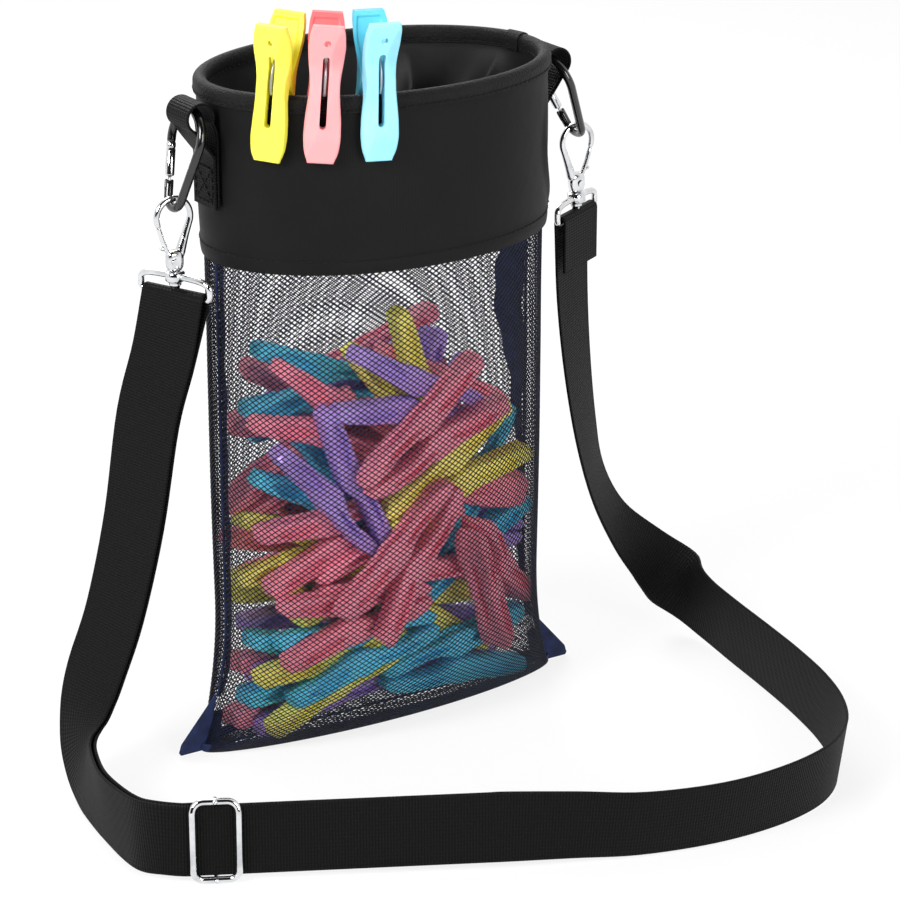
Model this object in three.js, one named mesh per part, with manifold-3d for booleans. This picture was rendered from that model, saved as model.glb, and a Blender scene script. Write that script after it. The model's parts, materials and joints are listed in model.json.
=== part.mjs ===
// Peg bag: a net pouch with a stiff oval mouth, loaded with clothes pegs, on a clip-on shoulder strap.
// Millimetres. +X runs along the mouth's long axis, +Y to the back, +Z up. The pouch stands on z = 0.

import * as THREE from 'three';
import { mergeVertices } from 'three/addons/utils/BufferGeometryUtils.js';
import Module from 'manifold-3d';

const wasm = await Module();
wasm.setup();

// Common fit between neighbouring pieces
const CLEARANCE = 0.3;

// Pouch: half-axes of its oval section at the base, belly and mouth
const BAG_HEIGHT = 360;
const MOUTH_HALF_WIDTH = 97;
const MOUTH_HALF_DEPTH = 68;
const BELLY_HALF_WIDTH = 96;
const BELLY_HALF_DEPTH = 62;
const BASE_HALF_WIDTH = 112;
const BASE_HALF_DEPTH = 20;
const BASE_ROUND_HEIGHT = 75;
const BASE_ROUNDNESS = 0.6;

// Cloth of the pouch and mouth
const COLLAR_HEIGHT = 92;
const COLLAR_THICKNESS = 1.2;
const LINING_THICKNESS = 1.0;
const NET_THICKNESS = 1.0;
const NET_OPENINGS = 11;
const NET_BAR = 4;
const NET_BAR_TURN = 0.05;
const CURVED_ROWS = 3;
const CURVED_ROW_STEPS = 3;
const CURVED_COLUMN_STEPS = 2;
const NET_TUCK = 8;
const TUCK_CLEARANCE = 0.6;
const SEAM_THICKNESS = 1.0;
const SEAM_FLAP = 12;
const EAR_REACH = 12;
const EAR_HEIGHT = 30;
const BINDING_THICKNESS = 1.2;
const BINDING_LEG = 11;

// Webbing loops at the mouth's two ends
const LOOP_WEBBING_WIDTH = 22;
const LOOP_WEBBING_THICKNESS = 1.4;
const LOOP_REACH = 10;
const LOOP_DROP = 14;
const LOOP_OUTER_RADIUS = 8;
const LOOP_TAIL = 62;

// Carabiners: centreline sizes of the pear-shaped wire
const CARABINER_LENGTH = 50;
const CARABINER_WIRE_RADIUS = 2.25;
const CARABINER_TOP_RADIUS = 14.5;
const CARABINER_BOTTOM_RADIUS = 7;
const CARABINER_CROWN_RISE = 3.45;
const CARABINER_PIVOT_DROP = 1;
const CARABINER_HINGE_SHARE = 0.2;
const GATE_RADIUS = 2.4;
const GATE_TONGUE = 1.3;
const GATE_PIN_RADIUS = 0.7;

// Swivel snap hooks
const EYE_RADIUS = 9.5;
const EYE_WIRE_RADIUS = 1.6;
const EYE_GAP = 0.9;
const HOOK_BLOCK = { top: 27.5, bottom: 37.5, halfWidth: 4.6, halfDepth: 3 };
const HOOK_RIVET = { x: 1.2, drop: 32.5, radius: 1.2, headRadius: 2, headHeight: 0.6 };
const HOOK_GATE = { thickness: 2, width: 2.8, endRadius: 2.2 };
const SHANK_RADIUS = 2;
const SHANK_HEAD_RADIUS = 3.2;
const SHANK_HEAD_HEIGHT = 2;

// Strap base under each hook
const BASE_BOSS_RADIUS = 5;
const BASE_BOSS_HEIGHT = 5.2;
const BASE_WIRE_RADIUS = 1.7;
const BASE_BAR_DROP = 50;
const BASE_CORNER_RADIUS = 2.5;

// Shoulder strap and its slider
const STRAP_WIDTH = 38;
const STRAP_THICKNESS = 1.6;
const STRAP_TAIL = 28;
const ADJUSTER_SPACING = 2.8;
const STRAP_SPAN_STEPS = 3;
const RIBBON_UPPER_SIDE = 2;
const SLIDER_BAR = 3.4;
const SLIDER_LENGTH = 26;
const SLIDER_EDGE_GAP = 0.4;
const SLIDER_FROM_RUN_START = 16;

// Clipped pegs
const PEG_JAW = 32.5;
const PEG_HANDLE = 38.5;
const PEG_HANDLE_SPREAD = 19;
const PEG_FULCRUM = 8;
const PEG_RIM_SAG = 0.95;
const PEG_SLOT_HALF_WIDTH = 1.7;
const PEG_SPRING_RADIUS = 12.2;
const PEG_SPRING_WIRE_RADIUS = 0.8;

// Loose pegs
const LOOSE_PEG_LENGTH = 88;
const LOOSE_PEG_SPREAD = 33;
const LOOSE_PEG_THICKNESS = 12;

// Facet counts
const RING_STEPS = 48;
const WIRE_SIDES = 8;

// Two ends of the bag: how the hardware leans out and which way the strap's width points there
const SIDES = {
  left: { sign: -1, lean: 14, strapAcross: [0.4, -0.917, 0] },
  right: { sign: 1, lean: 25, strapAcross: [0.882, 0.471, 0] },
};

// Left fall of the strap, from the hook to the floor and round to the front: centre and width direction
const LEFT_FALL = [
  { at: [-127, -1, 226], across: [0.42, -0.91, 0] },
  { at: [-137, 0, 192], across: [0.4, -0.92, 0] },
  { at: [-147, 0, 138], across: [0.35, -0.94, 0] },
  { at: [-160, -1, 92], across: [0.31, -0.95, 0] },
  { at: [-172, -1, 62], across: [0.3, -0.95, 0] },
  { at: [-178.5, -2, 46], across: [0.27, -0.93, 0.2] },
  { at: [-184, -6, 33], across: [0.2, -0.85, 0.5] },
  { at: [-188, -14, 24.5], across: [0.2, -0.52, 0.83] },
  { at: [-192.5, -26, 20.2], across: [0.14, -0.2, 0.97] },
  { at: [-198, -43, 19.6], across: [0.04, -0.08, 0.99] },
  { at: [-203, -66, 19.4], across: [-0.06, -0.08, 0.99] },
  { at: [-205, -90, 19.8], across: [-0.03, -0.03, 1] },
  { at: [-205, -108, 21.5], across: [0, 0, 1] },
  { at: [-200, -120, 23], across: [0, 0, 1] },
];

// Straight front run that the slider moves along: its two ends at mid-width
const FRONT_RUN = [[-191, -128], [-50, -200.4]];
const FRONT_RUN_SHARES = [0, 0.06, 0.2, 0.4, 0.6, 0.8, 0.94, 1];

// Right turn and rise of the strap, from the front run up to the right hook
const RIGHT_RISE = [
  { at: [-20, -215, 21.8], across: [-0.04, -0.08, 1] },
  { at: [12, -229, 19.8], across: [-0.06, -0.17, 0.98] },
  { at: [52, -239, 19.2], across: [-0.02, -0.22, 0.97] },
  { at: [90, -240, 19.2], across: [0.02, -0.2, 0.98] },
  { at: [122, -233, 19.3], across: [0.08, -0.15, 0.98] },
  { at: [145, -218, 19.4], across: [0.1, -0.08, 0.99] },
  { at: [161, -196, 19.4], across: [0.1, -0.03, 0.99] },
  { at: [173, -168, 19.4], across: [0.08, 0, 1] },
  { at: [182, -134, 19.4], across: [0.05, 0, 1] },
  { at: [189, -98, 19.4], across: [0.03, 0, 1] },
  { at: [195, -60, 19.8], across: [0.03, 0.03, 1] },
  { at: [199, -28, 22], across: [0.05, 0.12, 0.99] },
  { at: [197, -6, 30], across: [0.15, 0.3, 0.94] },
  { at: [184, 5, 45], across: [0.32, 0.5, 0.8] },
  { at: [166, 9, 66], across: [0.45, 0.66, 0.6] },
  { at: [150, 8, 95], across: [0.6, 0.7, 0.4] },
  { at: [139, 5, 130], across: [0.74, 0.64, 0.2] },
  { at: [131, 3, 172], across: [0.82, 0.57, 0.05] },
  { at: [127, 3, 214], across: [0.86, 0.51, 0] },
];

// Clipped pegs: where they grip, as an angle round the rim, how far they lean along it, and their colour
const CLIPPED_PEGS = [
  { name: 'yellow_peg', angle: 213.4, lean: 5.5, colour: 0xf8ee35 },
  { name: 'pink_peg', angle: 230.6, lean: 4, colour: 0xff9a9e },
  { name: 'blue_peg', angle: 247.5, lean: 1, colour: 0x8de1f4 },
];

// Loose pegs: colour, the panel they lean on, place of the centre and heading of the jaws, outermost first
const PINK = 0xf07088;
const PURPLE = 0x8c6bb8;
const OLIVE = 0xd8cf55;
const TEAL = 0x35a8cc;
const FRONT = -1;
const BACK = 1;
const LOOSE_PEGS = [
  { colour: PINK, side: FRONT, x: 3, z: 170, heading: 211 },
  { colour: PINK, side: FRONT, x: -9, z: 103, heading: 51 },
  { colour: PURPLE, side: FRONT, x: -40, z: 142, heading: -58 },
  { colour: PINK, side: FRONT, x: -31, z: 70, heading: 3 },
  { colour: OLIVE, side: FRONT, x: 27, z: 139, heading: 205 },
  { colour: PURPLE, side: FRONT, x: 2, z: 187, heading: -20 },
  { colour: OLIVE, side: FRONT, x: -38, z: 35.3, heading: 13 },
  { colour: TEAL, side: FRONT, x: 37, z: 25, heading: 183 },
  { colour: TEAL, side: FRONT, x: 40, z: 92, heading: 220 },
  { colour: PINK, side: FRONT, x: -38, z: 177, heading: -28 },
  { colour: PINK, side: FRONT, x: -36, z: 113, heading: 9 },
  { colour: OLIVE, side: FRONT, x: 8, z: 183, heading: -62 },
  { colour: PURPLE, side: FRONT, x: -34, z: 23, heading: 2 },
  { colour: OLIVE, side: FRONT, x: 31, z: 54, heading: 158 },
  { colour: TEAL, side: FRONT, x: -32, z: 134, heading: -38 },
  { colour: PINK, side: FRONT, x: 34, z: 175, heading: -21 },
  { colour: TEAL, side: FRONT, x: -31, z: 189, heading: -14 },
  { colour: PURPLE, side: BACK, x: -24, z: 44, heading: 8 },
  { colour: OLIVE, side: BACK, x: 36, z: 100, heading: 228 },
  { colour: PINK, side: BACK, x: -32, z: 102, heading: -25 },
  { colour: TEAL, side: BACK, x: -8, z: 152, heading: 17 },
  { colour: PINK, side: BACK, x: 18, z: 182, heading: 190 },
];

// Sizes that follow from the fits
const SEAM_GAP = SEAM_THICKNESS / 2 + CLEARANCE;
const NET_INSET = COLLAR_THICKNESS + TUCK_CLEARANCE;
const LINING_INSET = NET_INSET + NET_THICKNESS + CLEARANCE;
const RIM_INSET = (LINING_INSET + LINING_THICKNESS) / 2;
const BINDING_INNER_RADIUS = RIM_INSET + CLEARANCE;
const RIM_RADIUS = BINDING_INNER_RADIUS + BINDING_THICKNESS;
const HOOP_RADIUS = BINDING_INNER_RADIUS - CLEARANCE;
const RIM_CENTRE_HEIGHT = BAG_HEIGHT - RIM_RADIUS;
const COLLAR_BOTTOM = BAG_HEIGHT - COLLAR_HEIGHT;
const COLLAR_TOP = RIM_CENTRE_HEIGHT - HOOP_RADIUS - CLEARANCE;
const LOOP_INNER_RADIUS = LOOP_OUTER_RADIUS - LOOP_WEBBING_THICKNESS;
const LOOP_HEIGHT = BAG_HEIGHT - LOOP_DROP;
const STRAP_FOLD_RADIUS = BASE_WIRE_RADIUS + CLEARANCE + STRAP_THICKNESS / 2;
const STRAP_RUN_HEIGHT = SLIDER_BAR + SLIDER_EDGE_GAP + STRAP_WIDTH / 2;

const vec = (x, y, z) => new THREE.Vector3(x, y, z);
const fromList = (list) => vec(list[0], list[1], list[2]);
const radians = THREE.MathUtils.degToRad;
const lerp = THREE.MathUtils.lerp;

const root = new THREE.Group();

// Solid helpers

function addMesh(parent, name, geometry, finish) {
  const mesh = new THREE.Mesh(geometry, new THREE.MeshStandardMaterial(finish));
  mesh.name = name;
  parent.add(mesh);
  return mesh;
}

function newellNormal(loop) {
  const normal = vec(0, 0, 0);
  loop.forEach((p, i) => {
    const q = loop[(i + 1) % loop.length];
    normal.x += (p.y - q.y) * (p.z + q.z);
    normal.y += (p.z - q.z) * (p.x + q.x);
    normal.z += (p.x - q.x) * (p.y + q.y);
  });
  return normal.normalize();
}

// Triangles that close a loop, turning the same way as the loop does
function capTriangles(loop) {
  const normal = newellNormal(loop);
  const helper = Math.abs(normal.z) < 0.9 ? vec(0, 0, 1) : vec(1, 0, 0);
  const u = vec(0, 0, 0).crossVectors(helper, normal).normalize();
  const v = vec(0, 0, 0).crossVectors(normal, u);
  const flat = loop.map((p) => new THREE.Vector2(p.dot(u), p.dot(v)));
  const turn = (a, b, c) => (b.x - a.x) * (c.y - a.y) - (c.x - a.x) * (b.y - a.y);
  const faces = THREE.ShapeUtils.triangulateShape(flat, []);
  return faces.map(([a, b, c]) => (turn(flat[a], flat[b], flat[c]) > 0 ? [a, b, c] : [a, c, b]));
}

function signedVolume(positions, faces) {
  let total = 0;
  for (let i = 0; i < faces.length; i += 3) {
    const [a, b, c] = [0, 1, 2].map((k) => positions[faces[i + k]]);
    total += a.dot(vec(0, 0, 0).crossVectors(b, c)) / 6;
  }
  return total;
}

function closedSolid(positions, faces) {
  if (signedVolume(positions, faces) < 0) {
    faces.reverse();
  }
  const geometry = new THREE.BufferGeometry().setFromPoints(positions);
  geometry.setIndex(faces);
  return geometry;
}

// A closed solid through a run of closed loops with equal point counts
function loft(loops, closedRun = false, turnedSide = -1) {
  const count = loops[0].length;
  const positions = loops.flat();
  const faces = [];
  const steps = closedRun ? loops.length : loops.length - 1;
  for (let i = 0; i < steps; i += 1) {
    const a = i * count;
    const b = ((i + 1) % loops.length) * count;
    for (let j = 0; j < count; j += 1) {
      const k = (j + 1) % count;
      if (j === turnedSide) {
        faces.push(a + j, a + k, b + j, a + k, b + k, b + j);
      } else {
        faces.push(a + j, a + k, b + k, a + j, b + k, b + j);
      }
    }
  }
  if (!closedRun) {
    const last = (loops.length - 1) * count;
    capTriangles(loops[0]).forEach(([a, b, c]) => faces.push(c, b, a));
    capTriangles(loops[loops.length - 1]).forEach(([a, b, c]) => faces.push(last + a, last + b, last + c));
  }
  return closedSolid(positions, faces);
}

function toManifold(geometry) {
  const bare = geometry.clone();
  bare.deleteAttribute('normal');
  bare.deleteAttribute('uv');
  const merged = mergeVertices(bare, 1e-4);
  return new wasm.Manifold(new wasm.Mesh({
    numProp: 3,
    vertProperties: new Float32Array(merged.getAttribute('position').array),
    triVerts: new Uint32Array(merged.index.array),
  }));
}

function fromManifold(solid) {
  const mesh = solid.getMesh();
  const geometry = new THREE.BufferGeometry();
  geometry.setAttribute('position', new THREE.BufferAttribute(new Float32Array(mesh.vertProperties), 3));
  geometry.setIndex(new THREE.BufferAttribute(new Uint32Array(mesh.triVerts), 1));
  return geometry;
}

function join(pieces) {
  return pieces.map(toManifold).reduce((whole, piece) => whole.add(piece));
}

function cut(whole, tools) {
  return tools.map(toManifold).reduce((left, tool) => left.subtract(tool), whole);
}

// A flat shape drawn in X and Z, as thick as given along Y about y = 0
function prismXZ(shape, thickness, arcSteps = 8) {
  const geometry = new THREE.ExtrudeGeometry(shape, {
    depth: thickness, bevelEnabled: false, curveSegments: arcSteps,
  });
  return geometry.rotateX(Math.PI / 2).translate(0, thickness / 2, 0);
}

// A flat shape drawn in Y and Z, as wide as given along X about x = 0
function prismYZ(shape, width, arcSteps = 8) {
  const geometry = new THREE.ExtrudeGeometry(shape, {
    depth: width, bevelEnabled: false, curveSegments: arcSteps,
  });
  geometry.translate(0, 0, -width / 2);
  return geometry.applyMatrix4(new THREE.Matrix4().makeBasis(vec(0, 1, 0), vec(0, 0, 1), vec(1, 0, 0)));
}

function block(low, high) {
  const size = high.clone().sub(low);
  const centre = low.clone().add(high).multiplyScalar(0.5);
  return new THREE.BoxGeometry(size.x, size.y, size.z).translate(centre.x, centre.y, centre.z);
}

// A round bar along Y through a point
function crossRod(x, z, radius, length, sides = 12) {
  return new THREE.CylinderGeometry(radius, radius, length, sides).translate(x, 0, z);
}

// A round bar along Z between two heights
function uprightRod(radius, low, high, sides = 16) {
  const rod = new THREE.CylinderGeometry(radius, radius, high - low, sides);
  return rod.rotateX(Math.PI / 2).translate(0, 0, (low + high) / 2);
}

// A round wire along a path that lies in the plane y = 0
function flatWire(path, radius, closed = false, sides = WIRE_SIDES) {
  const last = path.length - 1;
  const loops = path.map((p, i) => {
    const before = closed ? path[(i + last) % path.length] : path[Math.max(i - 1, 0)];
    const after = closed ? path[(i + 1) % path.length] : path[Math.min(i + 1, last)];
    const along = after.clone().sub(before).normalize();
    const side = vec(-along.z, 0, along.x);
    return Array.from({ length: sides }, (_, k) => {
      const turn = (2 * Math.PI * (k + 0.5)) / sides;
      return p.clone().addScaledVector(side, radius * Math.cos(turn)).add(vec(0, radius * Math.sin(turn), 0));
    });
  });
  return loft(loops, closed);
}

function arc(x, z, radius, fromDegrees, toDegrees, steps) {
  return Array.from({ length: steps + 1 }, (_, i) => {
    const turn = radians(lerp(fromDegrees, toDegrees, i / steps));
    return vec(x + radius * Math.cos(turn), 0, z + radius * Math.sin(turn));
  });
}

// Pouch outline

function riseShare(z) {
  return (z - BASE_ROUND_HEIGHT) / (BAG_HEIGHT - BASE_ROUND_HEIGHT);
}

function halfWidth(z) {
  if (z >= BASE_ROUND_HEIGHT) {
    return lerp(BELLY_HALF_WIDTH, MOUTH_HALF_WIDTH, riseShare(z));
  }
  const rest = 1 - z / BASE_ROUND_HEIGHT;
  return lerp(BELLY_HALF_WIDTH, BASE_HALF_WIDTH, rest ** 2);
}

function halfDepth(z) {
  if (z >= BASE_ROUND_HEIGHT) {
    return lerp(BELLY_HALF_DEPTH, MOUTH_HALF_DEPTH, riseShare(z));
  }
  const rest = 1 - z / BASE_ROUND_HEIGHT;
  return lerp(BASE_HALF_DEPTH, BELLY_HALF_DEPTH, (1 - rest ** 2) ** BASE_ROUNDNESS);
}

function ovalPoint(angle, z, inset) {
  return vec((halfWidth(z) - inset) * Math.cos(angle), (halfDepth(z) - inset) * Math.sin(angle), z);
}

// A ring round the mouth from a section given as {inset, z} corners
function mouthRing(section) {
  const loops = Array.from({ length: RING_STEPS }, (_, i) => {
    const angle = (2 * Math.PI * i) / RING_STEPS;
    return section.map((corner) => ovalPoint(angle, corner.z, corner.inset));
  });
  return loft(loops, true);
}

// Net panels, one half of the pouch each, closing on the bottom seam's line
// Their bars stand round a plain grid of openings

const NET_TOP = COLLAR_BOTTOM + NET_TUCK;

// Marks along a panel, in millimetres or shares, with a bar at each end of every opening
function barMarks(length, openings, bar, curvedOpenings, curveSteps) {
  const pitch = (length - bar) / openings;
  const marks = [{ at: 0, open: false }];
  for (let i = 0; i < openings; i += 1) {
    const start = i * pitch + bar;
    const end = (i + 1) * pitch;
    const steps = i < curvedOpenings ? curveSteps : 1;
    for (let j = 0; j < steps; j += 1) {
      marks.push({ at: lerp(start, end, j / steps), open: true });
    }
    marks.push({ at: end, open: false });
  }
  marks.push({ at: length, open: false });
  return marks;
}

function netPanel(facing) {
  const endNudge = radians(1);
  const columns = barMarks(Math.PI, NET_OPENINGS, NET_BAR_TURN, NET_OPENINGS, CURVED_COLUMN_STEPS);
  const rows = barMarks(NET_TOP, NET_OPENINGS, NET_BAR, CURVED_ROWS, CURVED_ROW_STEPS);
  const place = (angle, width, depth, z) => vec(
    width * Math.cos(angle),
    facing * (SEAM_GAP + (depth - SEAM_GAP) * Math.sin(angle)),
    z,
  );
  const seamWidth = BASE_HALF_WIDTH - NET_INSET - SEAM_THICKNESS;
  const positions = [];
  columns.forEach(({ at }) => {
    const angle = Math.min(Math.max(at, endNudge), Math.PI - endNudge);
    positions.push(place(angle, seamWidth, SEAM_GAP, 0));
    positions.push(place(angle, seamWidth - NET_THICKNESS, SEAM_GAP, NET_THICKNESS));
    rows.forEach(({ at: z }) => {
      const step = 0.5;
      const slope = (halfDepth(z + step) - halfDepth(z)) / step;
      const lean = 1 / Math.hypot(1, slope);
      const inset = NET_INSET + NET_THICKNESS * lean;
      const lift = z < NET_TOP ? NET_THICKNESS * slope * lean : 0;
      positions.push(place(angle, halfWidth(z) - NET_INSET, halfDepth(z) - NET_INSET, z));
      positions.push(place(angle, halfWidth(z) - inset, halfDepth(z) - inset, z + lift));
    });
  });

  const high = rows.length + 1;
  const outer = (i, j) => 2 * (i * high + j);
  const inner = (i, j) => outer(i, j) + 1;
  const solid = (i, j) => {
    if (i < 0 || j < 0 || i >= columns.length - 1 || j >= high - 1) {
      return false;
    }
    return !(columns[i].open && j > 0 && rows[j - 1].open);
  };
  const faces = [];
  const quad = (a, b, c, d) => faces.push(a, b, c, a, c, d);
  for (let i = 0; i < columns.length - 1; i += 1) {
    for (let j = 0; j < high - 1; j += 1) {
      if (solid(i, j)) {
        quad(outer(i, j), outer(i + 1, j), outer(i + 1, j + 1), outer(i, j + 1));
        quad(inner(i, j), inner(i, j + 1), inner(i + 1, j + 1), inner(i + 1, j));
        const corners = [[i, j], [i + 1, j], [i + 1, j + 1], [i, j + 1]];
        const neighbours = [[i, j - 1], [i + 1, j], [i, j + 1], [i - 1, j]];
        neighbours.forEach(([m, n], k) => {
          if (!solid(m, n)) {
            const [from, to] = [corners[k], corners[(k + 1) % 4]];
            quad(outer(...to), outer(...from), inner(...from), inner(...to));
          }
        });
      }
    }
  }
  return closedSolid(positions, faces);
}

// A side seam's inner flap, standing between the two panels' edges
function sideSeam(sign) {
  const bottom = EAR_HEIGHT * 0.7;
  const top = COLLAR_BOTTOM - CLEARANCE;
  const heights = [bottom, EAR_HEIGHT, 0.7 * BASE_ROUND_HEIGHT, BASE_ROUND_HEIGHT, top];
  const edge = (z, inset) => new THREE.Vector2(sign * (halfWidth(z) - NET_INSET - inset), z);
  const outline = [
    ...heights.map((z) => edge(z, 0)),
    ...heights.slice().reverse().map((z) => edge(z, SEAM_FLAP)),
  ];
  return prismXZ(new THREE.Shape(outline), SEAM_THICKNESS);
}

// The bottom seam, with the flat corner tabs that flare past the pouch's ends
function bottomSeam() {
  const stripTop = 1.5;
  const tabTop = EAR_HEIGHT * 0.7 - CLEARANCE;
  const tip = BASE_HALF_WIDTH + EAR_REACH;
  const side = (z) => halfWidth(z) - NET_INSET + 2 * CLEARANCE;
  const rightTab = [
    [tip - 1, 0],
    [tip, 1.5],
    [tip - 1.5, 6],
    [side(EAR_HEIGHT) + 1, EAR_HEIGHT],
    [side(EAR_HEIGHT), EAR_HEIGHT],
    [side(tabTop), tabTop],
    [side(tabTop) - SEAM_FLAP / 2, tabTop],
    [BASE_HALF_WIDTH - SEAM_FLAP, stripTop],
  ];
  const leftTab = rightTab.slice().reverse().map(([x, z]) => [-x, z]);
  const outline = [...rightTab, ...leftTab].map(([x, z]) => new THREE.Vector2(x, z));
  return prismXZ(new THREE.Shape(outline), SEAM_THICKNESS);
}

const NET_FINISH = { color: 0x141a38, roughness: 0.8, metalness: 0 };
const NYLON_FINISH = { color: 0x141416, roughness: 0.55, metalness: 0 };
const WEBBING_FINISH = { color: 0x121213, roughness: 0.85, metalness: 0 };
const BINDING_FINISH = { color: 0x1a1a1c, roughness: 0.9, metalness: 0 };
const HOOP_FINISH = { color: 0x2a2a2c, roughness: 0.5, metalness: 0 };
const CHROME_FINISH = { color: 0xd4d6da, roughness: 0.15, metalness: 1 };
const BLACK_METAL_FINISH = { color: 0x18181a, roughness: 0.35, metalness: 0.3 };
const SPRING_FINISH = { color: 0xa8abb0, roughness: 0.25, metalness: 1 };

addMesh(root, 'mesh_front_panel', netPanel(-1), NET_FINISH);
addMesh(root, 'mesh_back_panel', netPanel(1), NET_FINISH);
addMesh(root, 'left_side_seam', sideSeam(-1), NET_FINISH);
addMesh(root, 'right_side_seam', sideSeam(1), NET_FINISH);
addMesh(root, 'bottom_seam', bottomSeam(), NET_FINISH);

function clothTube(inset, thickness) {
  return mouthRing([
    { inset, z: COLLAR_BOTTOM },
    { inset, z: COLLAR_TOP },
    { inset: inset + thickness, z: COLLAR_TOP },
    { inset: inset + thickness, z: COLLAR_BOTTOM },
  ]);
}

addMesh(root, 'collar_outer', clothTube(0, COLLAR_THICKNESS), NYLON_FINISH);
addMesh(root, 'collar_lining', clothTube(LINING_INSET, LINING_THICKNESS), NYLON_FINISH);

function rimArc(radius, fromDegrees, toDegrees, steps) {
  return arc(RIM_INSET, RIM_CENTRE_HEIGHT, radius, fromDegrees, toDegrees, steps)
    .map((p) => ({ inset: p.x, z: p.z }));
}

const legBottom = RIM_CENTRE_HEIGHT - BINDING_LEG;
const bindingSection = [
  { inset: RIM_INSET - RIM_RADIUS, z: legBottom },
  ...rimArc(RIM_RADIUS, 180, 0, 6),
  { inset: RIM_INSET + RIM_RADIUS, z: legBottom },
  { inset: RIM_INSET + BINDING_INNER_RADIUS, z: legBottom },
  ...rimArc(BINDING_INNER_RADIUS, 0, 180, 6),
  { inset: RIM_INSET - BINDING_INNER_RADIUS, z: legBottom },
];
addMesh(root, 'rim_binding', mouthRing(bindingSection), BINDING_FINISH);
addMesh(root, 'rim_hoop', mouthRing(rimArc(HOOP_RADIUS, 0, 315, 7)), HOOP_FINISH);

// Webbing loops: a doubled tail sewn to the collar, opening into a ring at the top

function webbingLoop() {
  const ring = { x: LOOP_REACH, z: LOOP_HEIGHT };
  const tailBottom = BAG_HEIGHT - LOOP_TAIL;
  const tailThickness = 2 * LOOP_WEBBING_THICKNESS + CLEARANCE;
  const ringBottom = LOOP_HEIGHT - LOOP_OUTER_RADIUS;
  const shape = new THREE.Shape();
  shape.moveTo(CLEARANCE, tailBottom);
  shape.lineTo(CLEARANCE + tailThickness, tailBottom);
  shape.lineTo(CLEARANCE + tailThickness, ringBottom - LOOP_REACH);
  shape.absarc(ring.x, ring.z, LOOP_OUTER_RADIUS, radians(-60), radians(180), false);
  shape.lineTo(CLEARANCE, ringBottom + LOOP_WEBBING_THICKNESS);
  shape.closePath();
  const hole = new THREE.Path();
  hole.absarc(ring.x, ring.z, LOOP_INNER_RADIUS, 0, 2 * Math.PI, true);
  shape.holes.push(hole);
  return prismXZ(shape, LOOP_WEBBING_WIDTH, 14);
}

// Carabiner: its own frame has X across the pear shape, Z up, and z = 0 at the crown's centreline

const taper = Math.asin((CARABINER_TOP_RADIUS - CARABINER_BOTTOM_RADIUS)
  / (CARABINER_LENGTH - CARABINER_TOP_RADIUS - CARABINER_BOTTOM_RADIUS));
const taperDegrees = THREE.MathUtils.radToDeg(taper);
const pearTop = vec(0, 0, -CARABINER_TOP_RADIUS);
const pearBottom = vec(0, 0, -CARABINER_LENGTH + CARABINER_BOTTOM_RADIUS);
const legNormal = vec(Math.cos(taper), 0, -Math.sin(taper));
const legLow = pearBottom.clone().addScaledVector(legNormal, CARABINER_BOTTOM_RADIUS);
const legHigh = pearTop.clone().addScaledVector(legNormal, CARABINER_TOP_RADIUS);
const legLength = legHigh.distanceTo(legLow);
const legAlong = legHigh.clone().sub(legLow).normalize();
const gateHinge = legLow.clone().addScaledVector(legAlong, legLength * CARABINER_HINGE_SHARE);

// Moves a piece built on the Z axis onto the gate's leg, with its hinge at the leg's hinge point
function ontoLeg(geometry, origin, along) {
  const across = vec(along.z, 0, -along.x);
  const frame = new THREE.Matrix4().makeBasis(across, vec(0, 1, 0), along).setPosition(origin);
  return geometry.applyMatrix4(frame);
}

const CHEEK_RISE = 1.2;
const SHOULDER_RISE = 2.9;
const TONGUE_DROP = 1.6;
const TONGUE_HALF_WIDTH = 1.8;
const FORK_DEPTH = 3;

function carabinerBody() {
  const path = [
    ...arc(pearTop.x, pearTop.z, CARABINER_TOP_RADIUS, -taperDegrees, 180 + taperDegrees, 16),
    ...arc(pearBottom.x, pearBottom.z, CARABINER_BOTTOM_RADIUS, 180 + taperDegrees, 360 - taperDegrees, 10),
    gateHinge.clone().addScaledVector(legAlong, CHEEK_RISE),
  ];
  const forkGap = GATE_TONGUE / 2 + CLEARANCE;
  const reach = 2 * CARABINER_WIRE_RADIUS;
  const fork = block(vec(-reach, -forkGap, -FORK_DEPTH), vec(reach, forkGap, reach));
  const bore = crossRod(0, 0, GATE_PIN_RADIUS + CLEARANCE, 4 * CARABINER_WIRE_RADIUS);
  const tools = [ontoLeg(fork, gateHinge, legAlong), ontoLeg(bore, gateHinge, legAlong)];
  return fromManifold(cut(toManifold(flatWire(path, CARABINER_WIRE_RADIUS)), tools));
}

function carabinerGate() {
  const top = legLength * (1 - CARABINER_HINGE_SHARE) - CLEARANCE;
  const tongue = block(
    vec(-TONGUE_HALF_WIDTH, -GATE_TONGUE / 2, -TONGUE_DROP),
    vec(TONGUE_HALF_WIDTH, GATE_TONGUE / 2, SHOULDER_RISE + 1),
  );
  const whole = join([uprightRod(GATE_RADIUS, SHOULDER_RISE, top, 12), tongue]);
  const bore = crossRod(0, 0, GATE_PIN_RADIUS + CLEARANCE, 4 * GATE_RADIUS);
  return ontoLeg(fromManifold(cut(whole, [bore])), gateHinge, legAlong);
}

function carabinerPin() {
  return ontoLeg(crossRod(0, 0, GATE_PIN_RADIUS, 1.8 * CARABINER_WIRE_RADIUS), gateHinge, legAlong);
}

// Swivel hook: its own frame has Z along the shank, z = 0 at the eye's top centreline, gate on +X

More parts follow.
